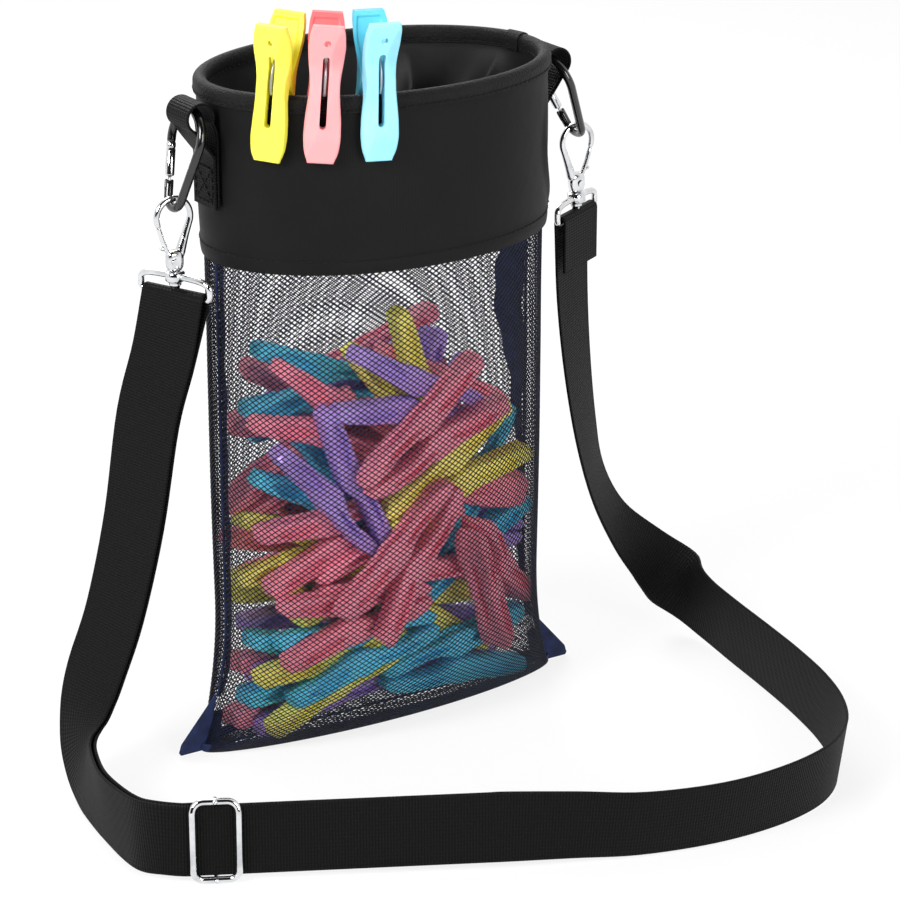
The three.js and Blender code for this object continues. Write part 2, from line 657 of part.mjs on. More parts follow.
const NOSE_ANGLE = -21;
const eyeCentre = vec(0, 0, -EYE_RADIUS);
const hookNose = arc(0, -EYE_RADIUS, EYE_RADIUS, NOSE_ANGLE, NOSE_ANGLE, 1)[0];
const rivetPlace = vec(HOOK_RIVET.x, 0, -HOOK_RIVET.drop);
const hookGateAlong = hookNose.clone().sub(rivetPlace).normalize();
const bossTop = -(HOOK_BLOCK.bottom + CLEARANCE);
const bossBottom = bossTop - BASE_BOSS_HEIGHT;
const headTop = bossBottom - CLEARANCE;

function hookBody() {
  const footing = vec(-HOOK_BLOCK.halfWidth + EYE_WIRE_RADIUS, 0, -(HOOK_BLOCK.top + EYE_WIRE_RADIUS));
  const eye = arc(eyeCentre.x, eyeCentre.z, EYE_RADIUS, NOSE_ANGLE, 195, 14);
  const wire = flatWire([...eye, footing], EYE_WIRE_RADIUS);
  const body = block(
    vec(-HOOK_BLOCK.halfWidth, -HOOK_BLOCK.halfDepth, -HOOK_BLOCK.bottom),
    vec(HOOK_BLOCK.halfWidth, HOOK_BLOCK.halfDepth, -HOOK_BLOCK.top),
  );
  const shank = uprightRod(SHANK_RADIUS, headTop - SHANK_HEAD_HEIGHT / 2, -HOOK_BLOCK.bottom + 1, 12);
  const head = uprightRod(SHANK_HEAD_RADIUS, headTop - SHANK_HEAD_HEIGHT, headTop, 12);
  const slotGap = HOOK_GATE.thickness / 2 + CLEARANCE;
  const slotLeft = HOOK_RIVET.x - HOOK_GATE.endRadius - 2 * CLEARANCE;
  const slot = block(
    vec(slotLeft, -slotGap, -HOOK_RIVET.drop - HOOK_GATE.endRadius - 2 * CLEARANCE),
    vec(2 * HOOK_BLOCK.halfWidth, slotGap, -HOOK_BLOCK.top + 1),
  );
  const boreRadius = HOOK_RIVET.radius + CLEARANCE;
  const bore = crossRod(HOOK_RIVET.x, -HOOK_RIVET.drop, boreRadius, 4 * HOOK_BLOCK.halfDepth);
  return fromManifold(cut(join([wire, body, shank, head]), [slot, bore]));
}

function hookGate() {
  const length = hookNose.distanceTo(rivetPlace) - CLEARANCE;
  const bar = block(
    vec(-HOOK_GATE.width / 2, -HOOK_GATE.thickness / 2, 0),
    vec(HOOK_GATE.width / 2, HOOK_GATE.thickness / 2, length),
  );
  const eye = crossRod(0, 0, HOOK_GATE.endRadius, HOOK_GATE.thickness);
  const bore = crossRod(0, 0, HOOK_RIVET.radius + CLEARANCE, 2 * HOOK_GATE.thickness);
  return ontoLeg(fromManifold(cut(join([bar, eye]), [bore])), rivetPlace, hookGateAlong);
}

function hookRivet() {
  const shoulder = HOOK_BLOCK.halfDepth + CLEARANCE;
  const end = shoulder + HOOK_RIVET.headHeight;
  const profile = [
    [0, -end],
    [HOOK_RIVET.headRadius, -end],
    [HOOK_RIVET.headRadius, -shoulder],
    [HOOK_RIVET.radius, -shoulder],
    [HOOK_RIVET.radius, shoulder],
    [HOOK_RIVET.headRadius, shoulder],
    [HOOK_RIVET.headRadius, end],
    [0, end],
  ].map(([r, y]) => new THREE.Vector2(r, y));
  return new THREE.LatheGeometry(profile, 12).translate(HOOK_RIVET.x, 0, -HOOK_RIVET.drop);
}

// Strap base: a D of wire hanging from a bored boss, its straight bar held in the strap's fold
function strapBase() {
  const half = STRAP_WIDTH / 2 + BASE_CORNER_RADIUS + CLEARANCE;
  const barHeight = -BASE_BAR_DROP;
  const shoulderHeight = bossBottom - BASE_WIRE_RADIUS;
  const top = (bossTop + bossBottom) / 2;
  const crown = new THREE.CubicBezierCurve3(
    vec(half, 0, shoulderHeight),
    vec(half, 0, top),
    vec(half * 0.7, 0, top),
    vec(BASE_BOSS_RADIUS / 2, 0, top),
  ).getPoints(7);
  const cornerHeight = barHeight + BASE_CORNER_RADIUS;
  const corner = arc(half - BASE_CORNER_RADIUS, cornerHeight, BASE_CORNER_RADIUS, -90, 0, 4);
  const rightHalf = [...corner, ...crown];
  const leftHalf = rightHalf.slice().reverse().map((p) => vec(-p.x, 0, p.z));
  const loop = flatWire([...rightHalf, ...leftHalf], BASE_WIRE_RADIUS, true);
  const boss = uprightRod(BASE_BOSS_RADIUS, bossBottom, bossTop, 16);
  const boreLow = bossBottom - BASE_BOSS_HEIGHT;
  const bore = uprightRod(SHANK_RADIUS + CLEARANCE, boreLow, bossTop + BASE_BOSS_HEIGHT, 16);
  return fromManifold(cut(join([loop, boss]), [bore]));
}

// Places the chain of loop, carabiner, hook and strap base at one end of the bag

const strapBars = {};

function hangSide(name, { sign, lean, strapAcross }) {
  const loop = addMesh(root, `${name}_webbing_loop`, webbingLoop(), WEBBING_FINISH);
  loop.position.x = sign * halfWidth(LOOP_HEIGHT);
  loop.rotation.z = sign > 0 ? 0 : Math.PI;

  const pivot = vec(sign * (halfWidth(LOOP_HEIGHT) + LOOP_REACH), 0, LOOP_HEIGHT - CARABINER_PIVOT_DROP);
  const swing = new THREE.Group();
  swing.position.copy(pivot);
  swing.rotation.y = -sign * radians(lean);
  root.add(swing);
  const carabiner = new THREE.Group();
  carabiner.position.z = CARABINER_CROWN_RISE;
  carabiner.rotation.z = Math.PI / 2;
  swing.add(carabiner);
  addMesh(carabiner, `${name}_carabiner_body`, carabinerBody(), BLACK_METAL_FINISH);
  addMesh(carabiner, `${name}_carabiner_gate`, carabinerGate(), CHROME_FINISH);
  addMesh(carabiner, `${name}_carabiner_pin`, carabinerPin(), CHROME_FINISH);

  const arm = CARABINER_LENGTH - CARABINER_CROWN_RISE;
  const leanAngle = radians(lean);
  const link = pivot.clone().add(vec(sign * arm * Math.sin(leanAngle), 0, -arm * Math.cos(leanAngle)));
  const eyeTop = link.clone().add(vec(0, 0, CARABINER_WIRE_RADIUS + EYE_GAP + EYE_WIRE_RADIUS));
  const hook = new THREE.Group();
  hook.position.copy(eyeTop);
  hook.rotation.z = sign > 0 ? 0 : Math.PI;
  root.add(hook);
  addMesh(hook, `${name}_hook_body`, hookBody(), CHROME_FINISH);
  addMesh(hook, `${name}_hook_gate`, hookGate(), CHROME_FINISH);
  addMesh(hook, `${name}_hook_rivet`, hookRivet(), CHROME_FINISH);

  const base = addMesh(root, `${name}_strap_base`, strapBase(), CHROME_FINISH);
  base.position.copy(eyeTop);
  base.rotation.z = Math.atan2(strapAcross[1], strapAcross[0]);
  strapBars[name] = { centre: eyeTop.clone().add(vec(0, 0, -BASE_BAR_DROP)), across: fromList(strapAcross) };
}

Object.entries(SIDES).forEach(([name, side]) => hangSide(name, side));

// Strap: a flat ribbon through stations of centre and width direction

function squared(stations) {
  return stations.map(({ at, across }, i) => {
    const before = stations[Math.max(i - 1, 0)].at;
    const after = stations[Math.min(i + 1, stations.length - 1)].at;
    const along = after.clone().sub(before).normalize();
    const wide = across.clone().addScaledVector(along, -across.dot(along)).normalize();
    return { at, wide, face: vec(0, 0, 0).crossVectors(along, wide) };
  });
}

function ribbon(stations) {
  const half = STRAP_WIDTH / 2;
  const skin = STRAP_THICKNESS / 2;
  const corners = [[-half, -skin], [half, -skin], [half, skin], [-half, skin]];
  const loops = squared(stations).map(({ at, wide, face }) => corners.map(
    ([w, t]) => at.clone().addScaledVector(wide, w).addScaledVector(face, t),
  ));
  return loft(loops, false, RIBBON_UPPER_SIDE);
}

// Stations drawn closer together along one smooth line
function refined(stations) {
  const line = new THREE.CatmullRomCurve3(stations.map(({ at }) => at), false, 'catmullrom', 0.5);
  const width = new THREE.CatmullRomCurve3(stations.map(({ across }) => across), false, 'catmullrom', 0.5);
  const spans = (stations.length - 1) * STRAP_SPAN_STEPS;
  return Array.from({ length: spans + 1 }, (_, i) => ({
    at: line.getPoint(i / spans),
    across: width.getPoint(i / spans),
  }));
}

// The strap's turn over a base's bar, from one side of the bar to the other
function foldStations(bar, faceDirection, fromDegrees, toDegrees) {
  return arc(0, 0, STRAP_FOLD_RADIUS, fromDegrees, toDegrees, 6).map((p) => ({
    at: bar.centre.clone().addScaledVector(faceDirection, p.x).add(vec(0, 0, p.z)),
    across: bar.across,
  }));
}

const listed = (stations) => stations.map(({ at, across }) => ({
  at: fromList(at),
  across: fromList(across),
}));
const downward = vec(0, 0, -1);

const leftBar = strapBars.left;
const leftFace = vec(0, 0, 0).crossVectors(downward, leftBar.across).normalize();
const leftFold = foldStations(leftBar, leftFace, 180, 0);
const rightBar = strapBars.right;
const rightFace = vec(0, 0, 0).crossVectors(downward, rightBar.across).normalize();
const rightFold = foldStations(rightBar, rightFace, 180, 0);
const tailEnd = rightFold[rightFold.length - 1].at.clone().addScaledVector(downward, STRAP_TAIL);

const runStart = vec(FRONT_RUN[0][0], FRONT_RUN[0][1], STRAP_RUN_HEIGHT);
const runEnd = vec(FRONT_RUN[1][0], FRONT_RUN[1][1], STRAP_RUN_HEIGHT);
const runAlong = runEnd.clone().sub(runStart).normalize();
const upright = vec(0, 0, 1);
const frontRun = FRONT_RUN_SHARES.map((share) => ({
  at: runStart.clone().lerp(runEnd, share),
  across: upright,
}));

const strapMiddle = refined([
  leftFold[leftFold.length - 1],
  ...listed(LEFT_FALL),
  ...frontRun,
  ...listed(RIGHT_RISE),
  rightFold[0],
]);
const strapStations = [
  ...leftFold,
  ...strapMiddle.slice(1, -1),
  ...rightFold,
  { at: tailEnd, across: rightBar.across },
];
addMesh(root, 'strap_main', ribbon(strapStations), WEBBING_FINISH);

// The doubled inner layer, from the left fold's inner side down to the slider's bar
const sliderCentre = runStart.clone().addScaledVector(runAlong, SLIDER_FROM_RUN_START);
const adjusterEnd = sliderCentre.clone().addScaledVector(runAlong, -(SLIDER_BAR / 2 + CLEARANCE));
const doubledSteps = (LEFT_FALL.length + 1) * STRAP_SPAN_STEPS;
const innerLayer = squared(strapMiddle)
  .slice(STRAP_SPAN_STEPS, doubledSteps + 1)
  .map(({ at, wide, face }) => ({ at: at.clone().addScaledVector(face, -ADJUSTER_SPACING), across: wide }));
const runFace = vec(0, 0, 0).crossVectors(runAlong, upright);
innerLayer.push({ at: adjusterEnd.addScaledVector(runFace, -ADJUSTER_SPACING), across: upright });
const adjusterTop = leftFold[0].at.clone().addScaledVector(downward, CLEARANCE);
const adjusterDrop = adjusterTop.clone().addScaledVector(downward, STRAP_FOLD_RADIUS);
const adjusterHead = [adjusterTop, adjusterDrop].map((at) => ({ at, across: leftBar.across }));
addMesh(root, 'strap_adjuster_run', ribbon([...adjusterHead, ...innerLayer]), WEBBING_FINISH);

// Slider: rails past the strap's edges, side bars before it and a centre bar behind it

const slider = new THREE.Group();
slider.position.copy(sliderCentre);
slider.rotation.z = Math.atan2(runAlong.y, runAlong.x);
root.add(slider);

function sliderFrame() {
  const railLow = STRAP_WIDTH / 2 + SLIDER_EDGE_GAP;
  const railHigh = railLow + SLIDER_BAR;
  const back = STRAP_THICKNESS / 2 + CLEARANCE + SLIDER_BAR;
  const halfLength = SLIDER_LENGTH / 2;
  const rails = [1, -1].map((side) => block(
    vec(-halfLength, -back, Math.min(side * railLow, side * railHigh)),
    vec(halfLength, back, Math.max(side * railLow, side * railHigh)),
  ));
  const sideBars = [1, -1].map((side) => {
    const outer = side * halfLength;
    const inner = side * (halfLength - SLIDER_BAR);
    return block(
      vec(Math.min(outer, inner), -back, -railHigh),
      vec(Math.max(outer, inner), -back + SLIDER_BAR, railHigh),
    );
  });
  return fromManifold(join([...rails, ...sideBars]));
}

function sliderBar() {
  const front = STRAP_THICKNESS / 2 + CLEARANCE;
  const end = STRAP_WIDTH / 2 + SLIDER_EDGE_GAP - CLEARANCE;
  return block(vec(-SLIDER_BAR / 2, front, -end), vec(SLIDER_BAR / 2, front + SLIDER_BAR, end));
}

addMesh(slider, 'slider_frame', sliderFrame(), CHROME_FINISH);
addMesh(slider, 'slider_bar', sliderBar(), CHROME_FINISH);

// Clipped pegs: a frame with Y out from the rim, Z up and z = 0 at the rim's top

function pegLever() {
  const jaw = RIM_RADIUS + CLEARANCE + PEG_RIM_SAG;
  const nose = CLEARANCE / 2;
  const back = jaw + 5.6;
  const side = [
    [jaw, -PEG_JAW], [jaw, -1], [nose, PEG_FULCRUM - 1], [nose, PEG_FULCRUM + 1], [nose + 4, PEG_FULCRUM + 9],
    [PEG_HANDLE_SPREAD - 5.5, PEG_HANDLE], [PEG_HANDLE_SPREAD, PEG_HANDLE], [back - 0.4, PEG_FULCRUM + 9],
    [back, PEG_FULCRUM - 4], [back, -PEG_JAW + 12], [jaw + 2.8, -PEG_JAW],
  ];
  const halfFront = [
    [7, PEG_HANDLE + 1], [8.4, PEG_HANDLE - 4], [9.2, PEG_HANDLE - 12], [8.6, PEG_HANDLE - 20],
    [7.4, PEG_FULCRUM + 2], [7.4, PEG_FULCRUM - 4], [8.9, -PEG_JAW + 22], [9.2, -PEG_JAW + 13],
    [8.6, -PEG_JAW + 6], [6, -PEG_JAW - 1],
  ];
  const front = [...halfFront.slice().reverse(), ...halfFront.map(([x, z]) => [-x, z])];
  const outline = new THREE.Shape(front.map(([x, z]) => new THREE.Vector2(x, z)));
  const slotTop = PEG_FULCRUM + PEG_SPRING_RADIUS + 2;
  const slotBottom = -PEG_JAW + 18;
  const slot = [
    [-PEG_SLOT_HALF_WIDTH, slotBottom], [-PEG_SLOT_HALF_WIDTH, slotTop],
    [PEG_SLOT_HALF_WIDTH, slotTop], [PEG_SLOT_HALF_WIDTH, slotBottom],
  ];
  outline.holes.push(new THREE.Path(slot.map(([x, z]) => new THREE.Vector2(x, z))));
  const eye = new THREE.Path();
  eye.absarc(0, PEG_HANDLE - 9, 1.7, 0, 2 * Math.PI, true);
  outline.holes.push(eye);
  const sideShape = new THREE.Shape(side.map(([y, z]) => new THREE.Vector2(y, z)));
  const depth = 4 * PEG_HANDLE_SPREAD;
  const sideSolid = toManifold(prismYZ(sideShape, depth));
  return fromManifold(sideSolid.intersect(toManifold(prismXZ(outline, depth, 4))));
}

// The wire spring, an open ring through both levers' slots that grips them from outside
function pegSpring() {
  const path = arc(0, PEG_FULCRUM + 1, PEG_SPRING_RADIUS, -35, 215, 18);
  return flatWire(path, PEG_SPRING_WIRE_RADIUS, false, 6).rotateZ(Math.PI / 2);
}

CLIPPED_PEGS.forEach(({ name, angle, lean, colour }) => {
  const turn = radians(angle);
  const grip = ovalPoint(turn, BAG_HEIGHT, RIM_INSET);
  const outward = vec(Math.cos(turn) / MOUTH_HALF_WIDTH, Math.sin(turn) / MOUTH_HALF_DEPTH, 0).normalize();
  const peg = new THREE.Group();
  peg.position.copy(grip);
  peg.rotation.set(0, -radians(lean), Math.atan2(-outward.x, outward.y), 'ZYX');
  root.add(peg);
  const finish = { color: colour, roughness: 0.35, metalness: 0 };
  addMesh(peg, `${name}_front_lever`, pegLever(), finish);
  addMesh(peg, `${name}_back_lever`, pegLever(), finish).rotation.z = Math.PI;
  addMesh(peg, `${name}_spring`, pegSpring(), SPRING_FINISH);
});

// Loose pegs: one closed A-shaped piece each, jaws on +X of its own frame

function loosePeg() {
  const tip = LOOSE_PEG_LENGTH / 2;
  const wide = LOOSE_PEG_SPREAD / 2;
  const upper = [
    [tip, 3.5], [tip - 5, 5.5], [14, 8.5], [4, 9.5], [-10, 10.5], [-tip + 3, wide], [-tip, wide - 1],
    [-tip, wide - 4], [-tip + 2, wide - 5.5], [-12, 5], [-6, 2.5], [-4, 0],
  ];
  const lower = upper.slice(0, -1).reverse().map(([x, z]) => [x, -z]);
  const shape = new THREE.Shape([...upper, ...lower].map(([x, z]) => new THREE.Vector2(x, z)));
  const window = [[26, 0], [16, 2.6], [6, 3], [2, 0], [6, -3], [16, -2.6]];
  shape.holes.push(new THREE.Path(window.map(([x, z]) => new THREE.Vector2(x, z))));
  return prismXZ(shape, LOOSE_PEG_THICKNESS);
}

// Depth of the net's inner face from the seam plane
function netDepth(x, z) {
  const height = Math.max(z - 2 * NET_THICKNESS, 0);
  const width = halfWidth(height) - NET_INSET - NET_THICKNESS;
  const depth = halfDepth(height) - NET_INSET - NET_THICKNESS - CLEARANCE;
  return SEAM_GAP + (depth - SEAM_GAP) * Math.sqrt(Math.max(1 - (x / width) ** 2, 0));
}

// How far towards its panel a peg settles: against the net, or against the pegs already leaning there
function settledDepth(geometry, flat, resting) {
  const place = geometry.getAttribute('position');
  const reaches = Array.from({ length: place.count }, (_, i) => netDepth(place.getX(i), place.getZ(i)));
  const againstNet = Math.min(...reaches) - LOOSE_PEG_THICKNESS / 2;
  const againstPegs = resting
    .filter((other) => other.flat.intersect(flat).volume() > 0)
    .map((other) => other.depth - LOOSE_PEG_THICKNESS - CLEARANCE);
  return Math.min(againstNet, ...againstPegs);
}

const settled = [];
LOOSE_PEGS.forEach(({ colour, side, x, z, heading }, i) => {
  const number = String(i + 1).padStart(2, '0');
  const geometry = loosePeg().rotateY(-radians(heading)).translate(x, 0, z);
  const flat = toManifold(geometry);
  const depth = settledDepth(geometry, flat, settled.filter((other) => other.side === side));
  settled.push({ side, flat, depth });
  const finish = { color: colour, roughness: 0.4, metalness: 0 };
  addMesh(root, `loose_peg_${number}`, geometry, finish).position.y = side * depth;
});

export default root;
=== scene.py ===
"""Net peg bag with its shoulder strap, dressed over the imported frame.

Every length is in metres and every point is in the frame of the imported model.
"""

from __future__ import annotations

import json
import logging
import math
from dataclasses import dataclass, field
from enum import Enum
from typing import Callable, Sequence

import bmesh
import bpy
import numpy as np
from mathutils import Matrix, Vector


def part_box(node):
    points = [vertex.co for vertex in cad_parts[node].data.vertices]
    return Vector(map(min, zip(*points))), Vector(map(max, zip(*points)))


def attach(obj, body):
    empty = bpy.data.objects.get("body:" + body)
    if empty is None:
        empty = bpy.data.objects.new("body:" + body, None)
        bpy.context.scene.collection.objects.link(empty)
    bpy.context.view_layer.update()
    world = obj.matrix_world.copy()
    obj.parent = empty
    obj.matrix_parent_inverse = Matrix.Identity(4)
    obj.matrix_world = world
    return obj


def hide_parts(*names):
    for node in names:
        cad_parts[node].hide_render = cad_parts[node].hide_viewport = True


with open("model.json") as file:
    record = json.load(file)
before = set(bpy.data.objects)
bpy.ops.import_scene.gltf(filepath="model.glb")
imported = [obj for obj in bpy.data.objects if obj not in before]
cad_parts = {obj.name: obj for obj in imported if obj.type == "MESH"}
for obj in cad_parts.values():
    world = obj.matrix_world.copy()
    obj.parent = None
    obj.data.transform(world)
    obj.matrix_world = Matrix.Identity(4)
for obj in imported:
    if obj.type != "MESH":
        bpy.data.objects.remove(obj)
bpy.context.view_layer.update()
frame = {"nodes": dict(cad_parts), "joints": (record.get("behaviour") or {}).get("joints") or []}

Array = np.ndarray
Pair = tuple[float, float]
Point = tuple[float, float, float]
Station = tuple[Point, Point]
Socket = bpy.types.NodeSocket

log = logging.getLogger("peg_bag")

UP = np.array([0.0, 0.0, 1.0])
JOINTS = {joint["name"]: joint for joint in frame["joints"]}
# Distance between the ribs of a band texture whose scale is 1.
BAND_PITCH = 0.314159


class Side(Enum):
    """The two ends of the mouth, by the sign of X."""

    LEFT = -1
    RIGHT = 1

    @property
    def word(self) -> str:
        """The side's name as the frame spells it."""
        return self.name.lower()


def unit(vectors: Array) -> Array:
    """Returns the vectors scaled to length one."""
    vectors = np.asarray(vectors, float)
    return vectors / np.maximum(np.linalg.norm(vectors, axis=-1, keepdims=True), 1e-12)


def smooth_path(points: Array, steps: int) -> Array:
    """Draws a smooth curve through rows of numbers.

    Args:
        points: One row for each station.
        steps: Pieces between neighbouring stations.

    Returns:
        The rows of the curve, the stations among them.
    """
    points = np.asarray(points, float)
    first = 2 * points[0] - points[1]
    last = 2 * points[-1] - points[-2]
    padded = np.vstack([first, points, last])
    rows = []
    for i in range(1, len(padded) - 2):
        a, b, c, d = padded[i - 1 : i + 3]
        for t in np.linspace(0, 1, steps, endpoint=False):
            rows.append(
                b
                + 0.5 * t * (c - a)
                + t * t * (a - 2.5 * b + 2 * c - 0.5 * d)
                + t * t * t * (1.5 * (b - c) + 0.5 * (d - a))
            )
    rows.append(points[-1])
    return np.array(rows)


def distances(line: Array) -> Array:
    """Returns the distance gone along a line at each of its points."""
    return np.concatenate([[0], np.cumsum(np.linalg.norm(np.diff(line, axis=0), axis=1))])


def everywhere(way: Sequence[float], line: Array) -> Array:
    """Returns one direction repeated for each point of a line."""
    return np.repeat(np.array([way], float), len(line), axis=0)


def path_length(points: Array) -> float:
    """Returns the length of a line of points."""
    return float(np.linalg.norm(np.diff(points, axis=0), axis=1).sum())


def path_frames(path: Array, closed: bool = False) -> tuple[Array, Array, Array]:
    """Carries a frame along a line without twist.

    Args:
        path: The points of the line.
        closed: Whether the last point joins the first.

    Returns:
        The direction, side and upper vectors at each point.
    """
    if closed:
        along = np.roll(path, -1, axis=0) - np.roll(path, 1, axis=0)
    else:
        along = np.gradient(path, axis=0)
    along = unit(along)
    start = UP if abs(along[0][2]) < 0.9 else np.array([1.0, 0.0, 0.0])
    sides = [unit(np.cross(start, along[0]))]
    for direction in along[1:]:
        last = sides[-1]
        sides.append(unit(last - direction * np.dot(last, direction)))
    side = np.array(sides)
    return along, side, np.cross(along, side)


def waves(positions: Array, seed: int, scale: float) -> Array:
    """Returns a soft seeded swell between about -1 and 1 at each position."""
    chance = np.random.default_rng(seed)
    total = np.zeros(positions.shape[:-1])
    for octave in range(7):
        direction = unit(chance.normal(size=3))
        pitch = scale * (0.6 + 0.25 * octave)
        total += np.sin(positions @ direction * (2 * math.pi / pitch) + chance.uniform(0, 6.28)) / 2.6
    return total


class Form:
    """Gathers the vertices, faces and cloth coordinates of one piece."""

    def __init__(self) -> None:
        """Starts with nothing in it."""
        self.vertices: list[Array] = []
        self.faces: list[list[int]] = []
        self.coords: list[Array] = []
        self.count = 0

    def add(self, vertices: Array, faces: Sequence, coords: Array | None = None) -> None:
        """Adds a patch of surface.

        Args:
            vertices: One row for each vertex.
            faces: Vertex numbers of each face, counted from the patch's own first vertex.
            coords: Distance across and along the cloth at each vertex.
        """
        vertices = np.asarray(vertices, float)
        base = self.count
        self.vertices.append(vertices)
        self.coords.append(np.zeros((len(vertices), 2)) if coords is None else np.asarray(coords, float))
        self.faces.extend([[base + int(i) for i in face] for face in faces])
        self.count += len(vertices)

    def grid(
        self,
        points: Array,
        close_rows: bool = False,
        close_cols: bool = False,
        coords: Array | None = None,
    ) -> None:
        """Adds a net of quads over rows and columns of points.

        Args:
            points: The points, row by row.
            close_rows: Whether the last row joins the first.
            close_cols: Whether the last column joins the first.
            coords: Distance across and along the cloth at each point.
        """
        rows, cols = points.shape[:2]
        i, j = np.meshgrid(
            np.arange(rows if close_rows else rows - 1),
            np.arange(cols if close_cols else cols - 1),
            indexing="ij",
        )
        i, j = i.ravel(), j.ravel()
        k, m = (i + 1) % rows, (j + 1) % cols
        faces = np.stack([i * cols + j, i * cols + m, k * cols + m, k * cols + j], axis=1)
        flat = None if coords is None else coords.reshape(-1, 2)
        self.add(points.reshape(-1, 3), faces, flat)

    def sweep(
        self,
        path: Array,
        side: Array,
        upper: Array,
        section: Array,
        closed: bool = False,
    ) -> None:
        """Draws one closed section along a line.

        Args:
            path: The points of the line.
            side: The direction of the section's first number at each point.
            upper: The direction of its second number.
            section: The section's points, the same everywhere or one set for each point.
            closed: Whether the line is a ring.
        """
        section = np.asarray(section, float)
        if section.ndim == 2:
            section = np.broadcast_to(section, (len(path), *section.shape))
        points = path[:, None] + side[:, None] * section[..., :1] + upper[:, None] * section[..., 1:]
        gone = distances(path)
        coords = np.stack(
            [section[..., 0], np.broadcast_to(gone[:, None], section.shape[:2])],
            axis=-1,
        )
        base = self.count
        self.grid(points, close_rows=closed, close_cols=True, coords=coords)
        if not closed:
            cols = section.shape[1]
            self.faces.append([base + i for i in reversed(range(cols))])
            self.faces.append([base + (len(path) - 1) * cols + i for i in range(cols)])

    def tube(
        self,
        path: Array,
        radius: float | Array,
        sides: int = 12,
        closed: bool = False,
        round_ends: bool = True,
    ) -> None:
        """Adds a round bar along a line.

        Args:
            path: The points of the line.
            radius: Its radius, the same everywhere or one for each point.
            sides: Faces round it.
            closed: Whether the line is a ring.
            round_ends: Whether open ends are domed.
        """
        path = np.asarray(path, float)
        radii = np.broadcast_to(np.asarray(radius, float), (len(path),)).copy()
        along, side, upper = path_frames(path, closed)
        if round_ends and not closed:
            turns = np.radians([80, 55, 30])
            first = [path[0] - along[0] * radii[0] * math.sin(t) for t in turns]
            last = [path[-1] + along[-1] * radii[-1] * math.sin(t) for t in turns[::-1]]
            near = [radii[0] * math.cos(t) for t in turns]
            far = [radii[-1] * math.cos(t) for t in turns[::-1]]
            path = np.vstack([first, path, last])
            side = np.vstack([[side[0]] * 3, side, [side[-1]] * 3])
            upper = np.vstack([[upper[0]] * 3, upper, [upper[-1]] * 3])
            radii = np.concatenate([near, radii, far])
        angle = np.linspace(0, 2 * math.pi, sides, endpoint=False)
        ring = np.stack([np.cos(angle), np.sin(angle)], axis=1)
        self.sweep(path, side, upper, radii[:, None, None] * ring, closed)

    def stitch_line(self, line: Array, outward: Array, pitch: float = 0.004) -> None:
        """Lays a row of thread stitches on a cloth.

        Args:
            line: The points of the sewn line.
            outward: The direction away from the cloth at each point.
            pitch: The length of one stitch and its gap.
        """
        gone = distances(line)
        total = gone[-1]
        for start in np.arange(0, total - pitch, pitch):
            spots = start + pitch * np.array([0.08, 0.3, 0.55, 0.77])
            points = np.stack([np.interp(spots, gone, line[:, k]) for k in range(3)], axis=1)
            away = np.stack([np.interp(spots, gone, outward[:, k]) for k in range(3)], axis=1)
            lift = np.array([0.0, 0.00022, 0.00022, 0.0])
            self.tube(points + unit(away) * lift[:, None], 0.00036, sides=6, round_ends=False)

    def build(self, name: str, finish: Finish, crease: float = 40) -> bpy.types.Object:
        """Makes the Blender object.

        Args:
            name: The piece's name.
            finish: What it is made of.
            crease: The angle in degrees from which an edge stays sharp.

        Returns:
            The new object, linked to the scene.
        """
        mesh = bpy.data.meshes.new(name)
        vertices = np.vstack(self.vertices)
        mesh.from_pydata(vertices.tolist(), [], self.faces)
        layer = mesh.uv_layers.new(name="cloth")
        order = np.empty(len(mesh.loops), dtype=np.int32)
        mesh.loops.foreach_get("vertex_index", order)
        layer.data.foreach_set("uv", np.vstack(self.coords)[order].astype(np.float32).ravel())
        mesh.materials.append(finish.material())
        return place(name, mesh, crease)


def place(name: str, mesh: bpy.types.Mesh, crease: float) -> bpy.types.Object:
    """Links a mesh to the scene, its faces turned outward and shaded smooth.

    Args:
        name: The piece's name.
        mesh: Its mesh.
        crease: The angle in degrees from which an edge stays sharp.

    Returns:
        The new object.
    """
    work = bmesh.new()
    work.from_mesh(mesh)
    bmesh.ops.recalc_face_normals(work, faces=work.faces)
    limit = math.radians(crease)
    for edge in work.edges:
        edge.smooth = len(edge.link_faces) != 2 or edge.calc_face_angle(0) < limit
    for face in work.faces:
        face.smooth = True
    work.to_mesh(mesh)
    work.free()
    piece = bpy.data.objects.new(name, mesh)
    bpy.context.scene.collection.objects.link(piece)
    return piece


def softened(
    source: bpy.types.Mesh, name: str, finish: Finish, bevel: float, segments: int
) -> bpy.types.Object:
    """Copies a mesh as a moulded piece with rounded edges.

    Args:
        source: The mesh with its edges still sharp.
        name: The piece's name.
        finish: What it is made of.
        bevel: The width of the rounding.
        segments: Faces across the rounding.

    Returns:
        The new object.
    """
    work = bmesh.new()
    work.from_mesh(source)
    bmesh.ops.remove_doubles(work, verts=work.verts, dist=1e-6)
    bmesh.ops.dissolve_limit(work, angle_limit=math.radians(1), verts=work.verts, edges=work.edges)
    sharp = [edge for edge in work.edges if len(edge.link_faces) == 2 and edge.calc_face_angle(0) > 0.5]
    bmesh.ops.bevel(
        work,
        geom=sharp,
        offset=bevel,
        segments=segments,
        profile=0.6,
        affect="EDGES",
        clamp_overlap=True,
    )
    bmesh.ops.triangulate(work, faces=[face for face in work.faces if len(face.verts) > 4])
    mesh = bpy.data.meshes.new(name)
    work.to_mesh(mesh)
    work.free()
    mesh.materials.clear()
    mesh.materials.append(finish.material())
    return place(name, mesh, 50)


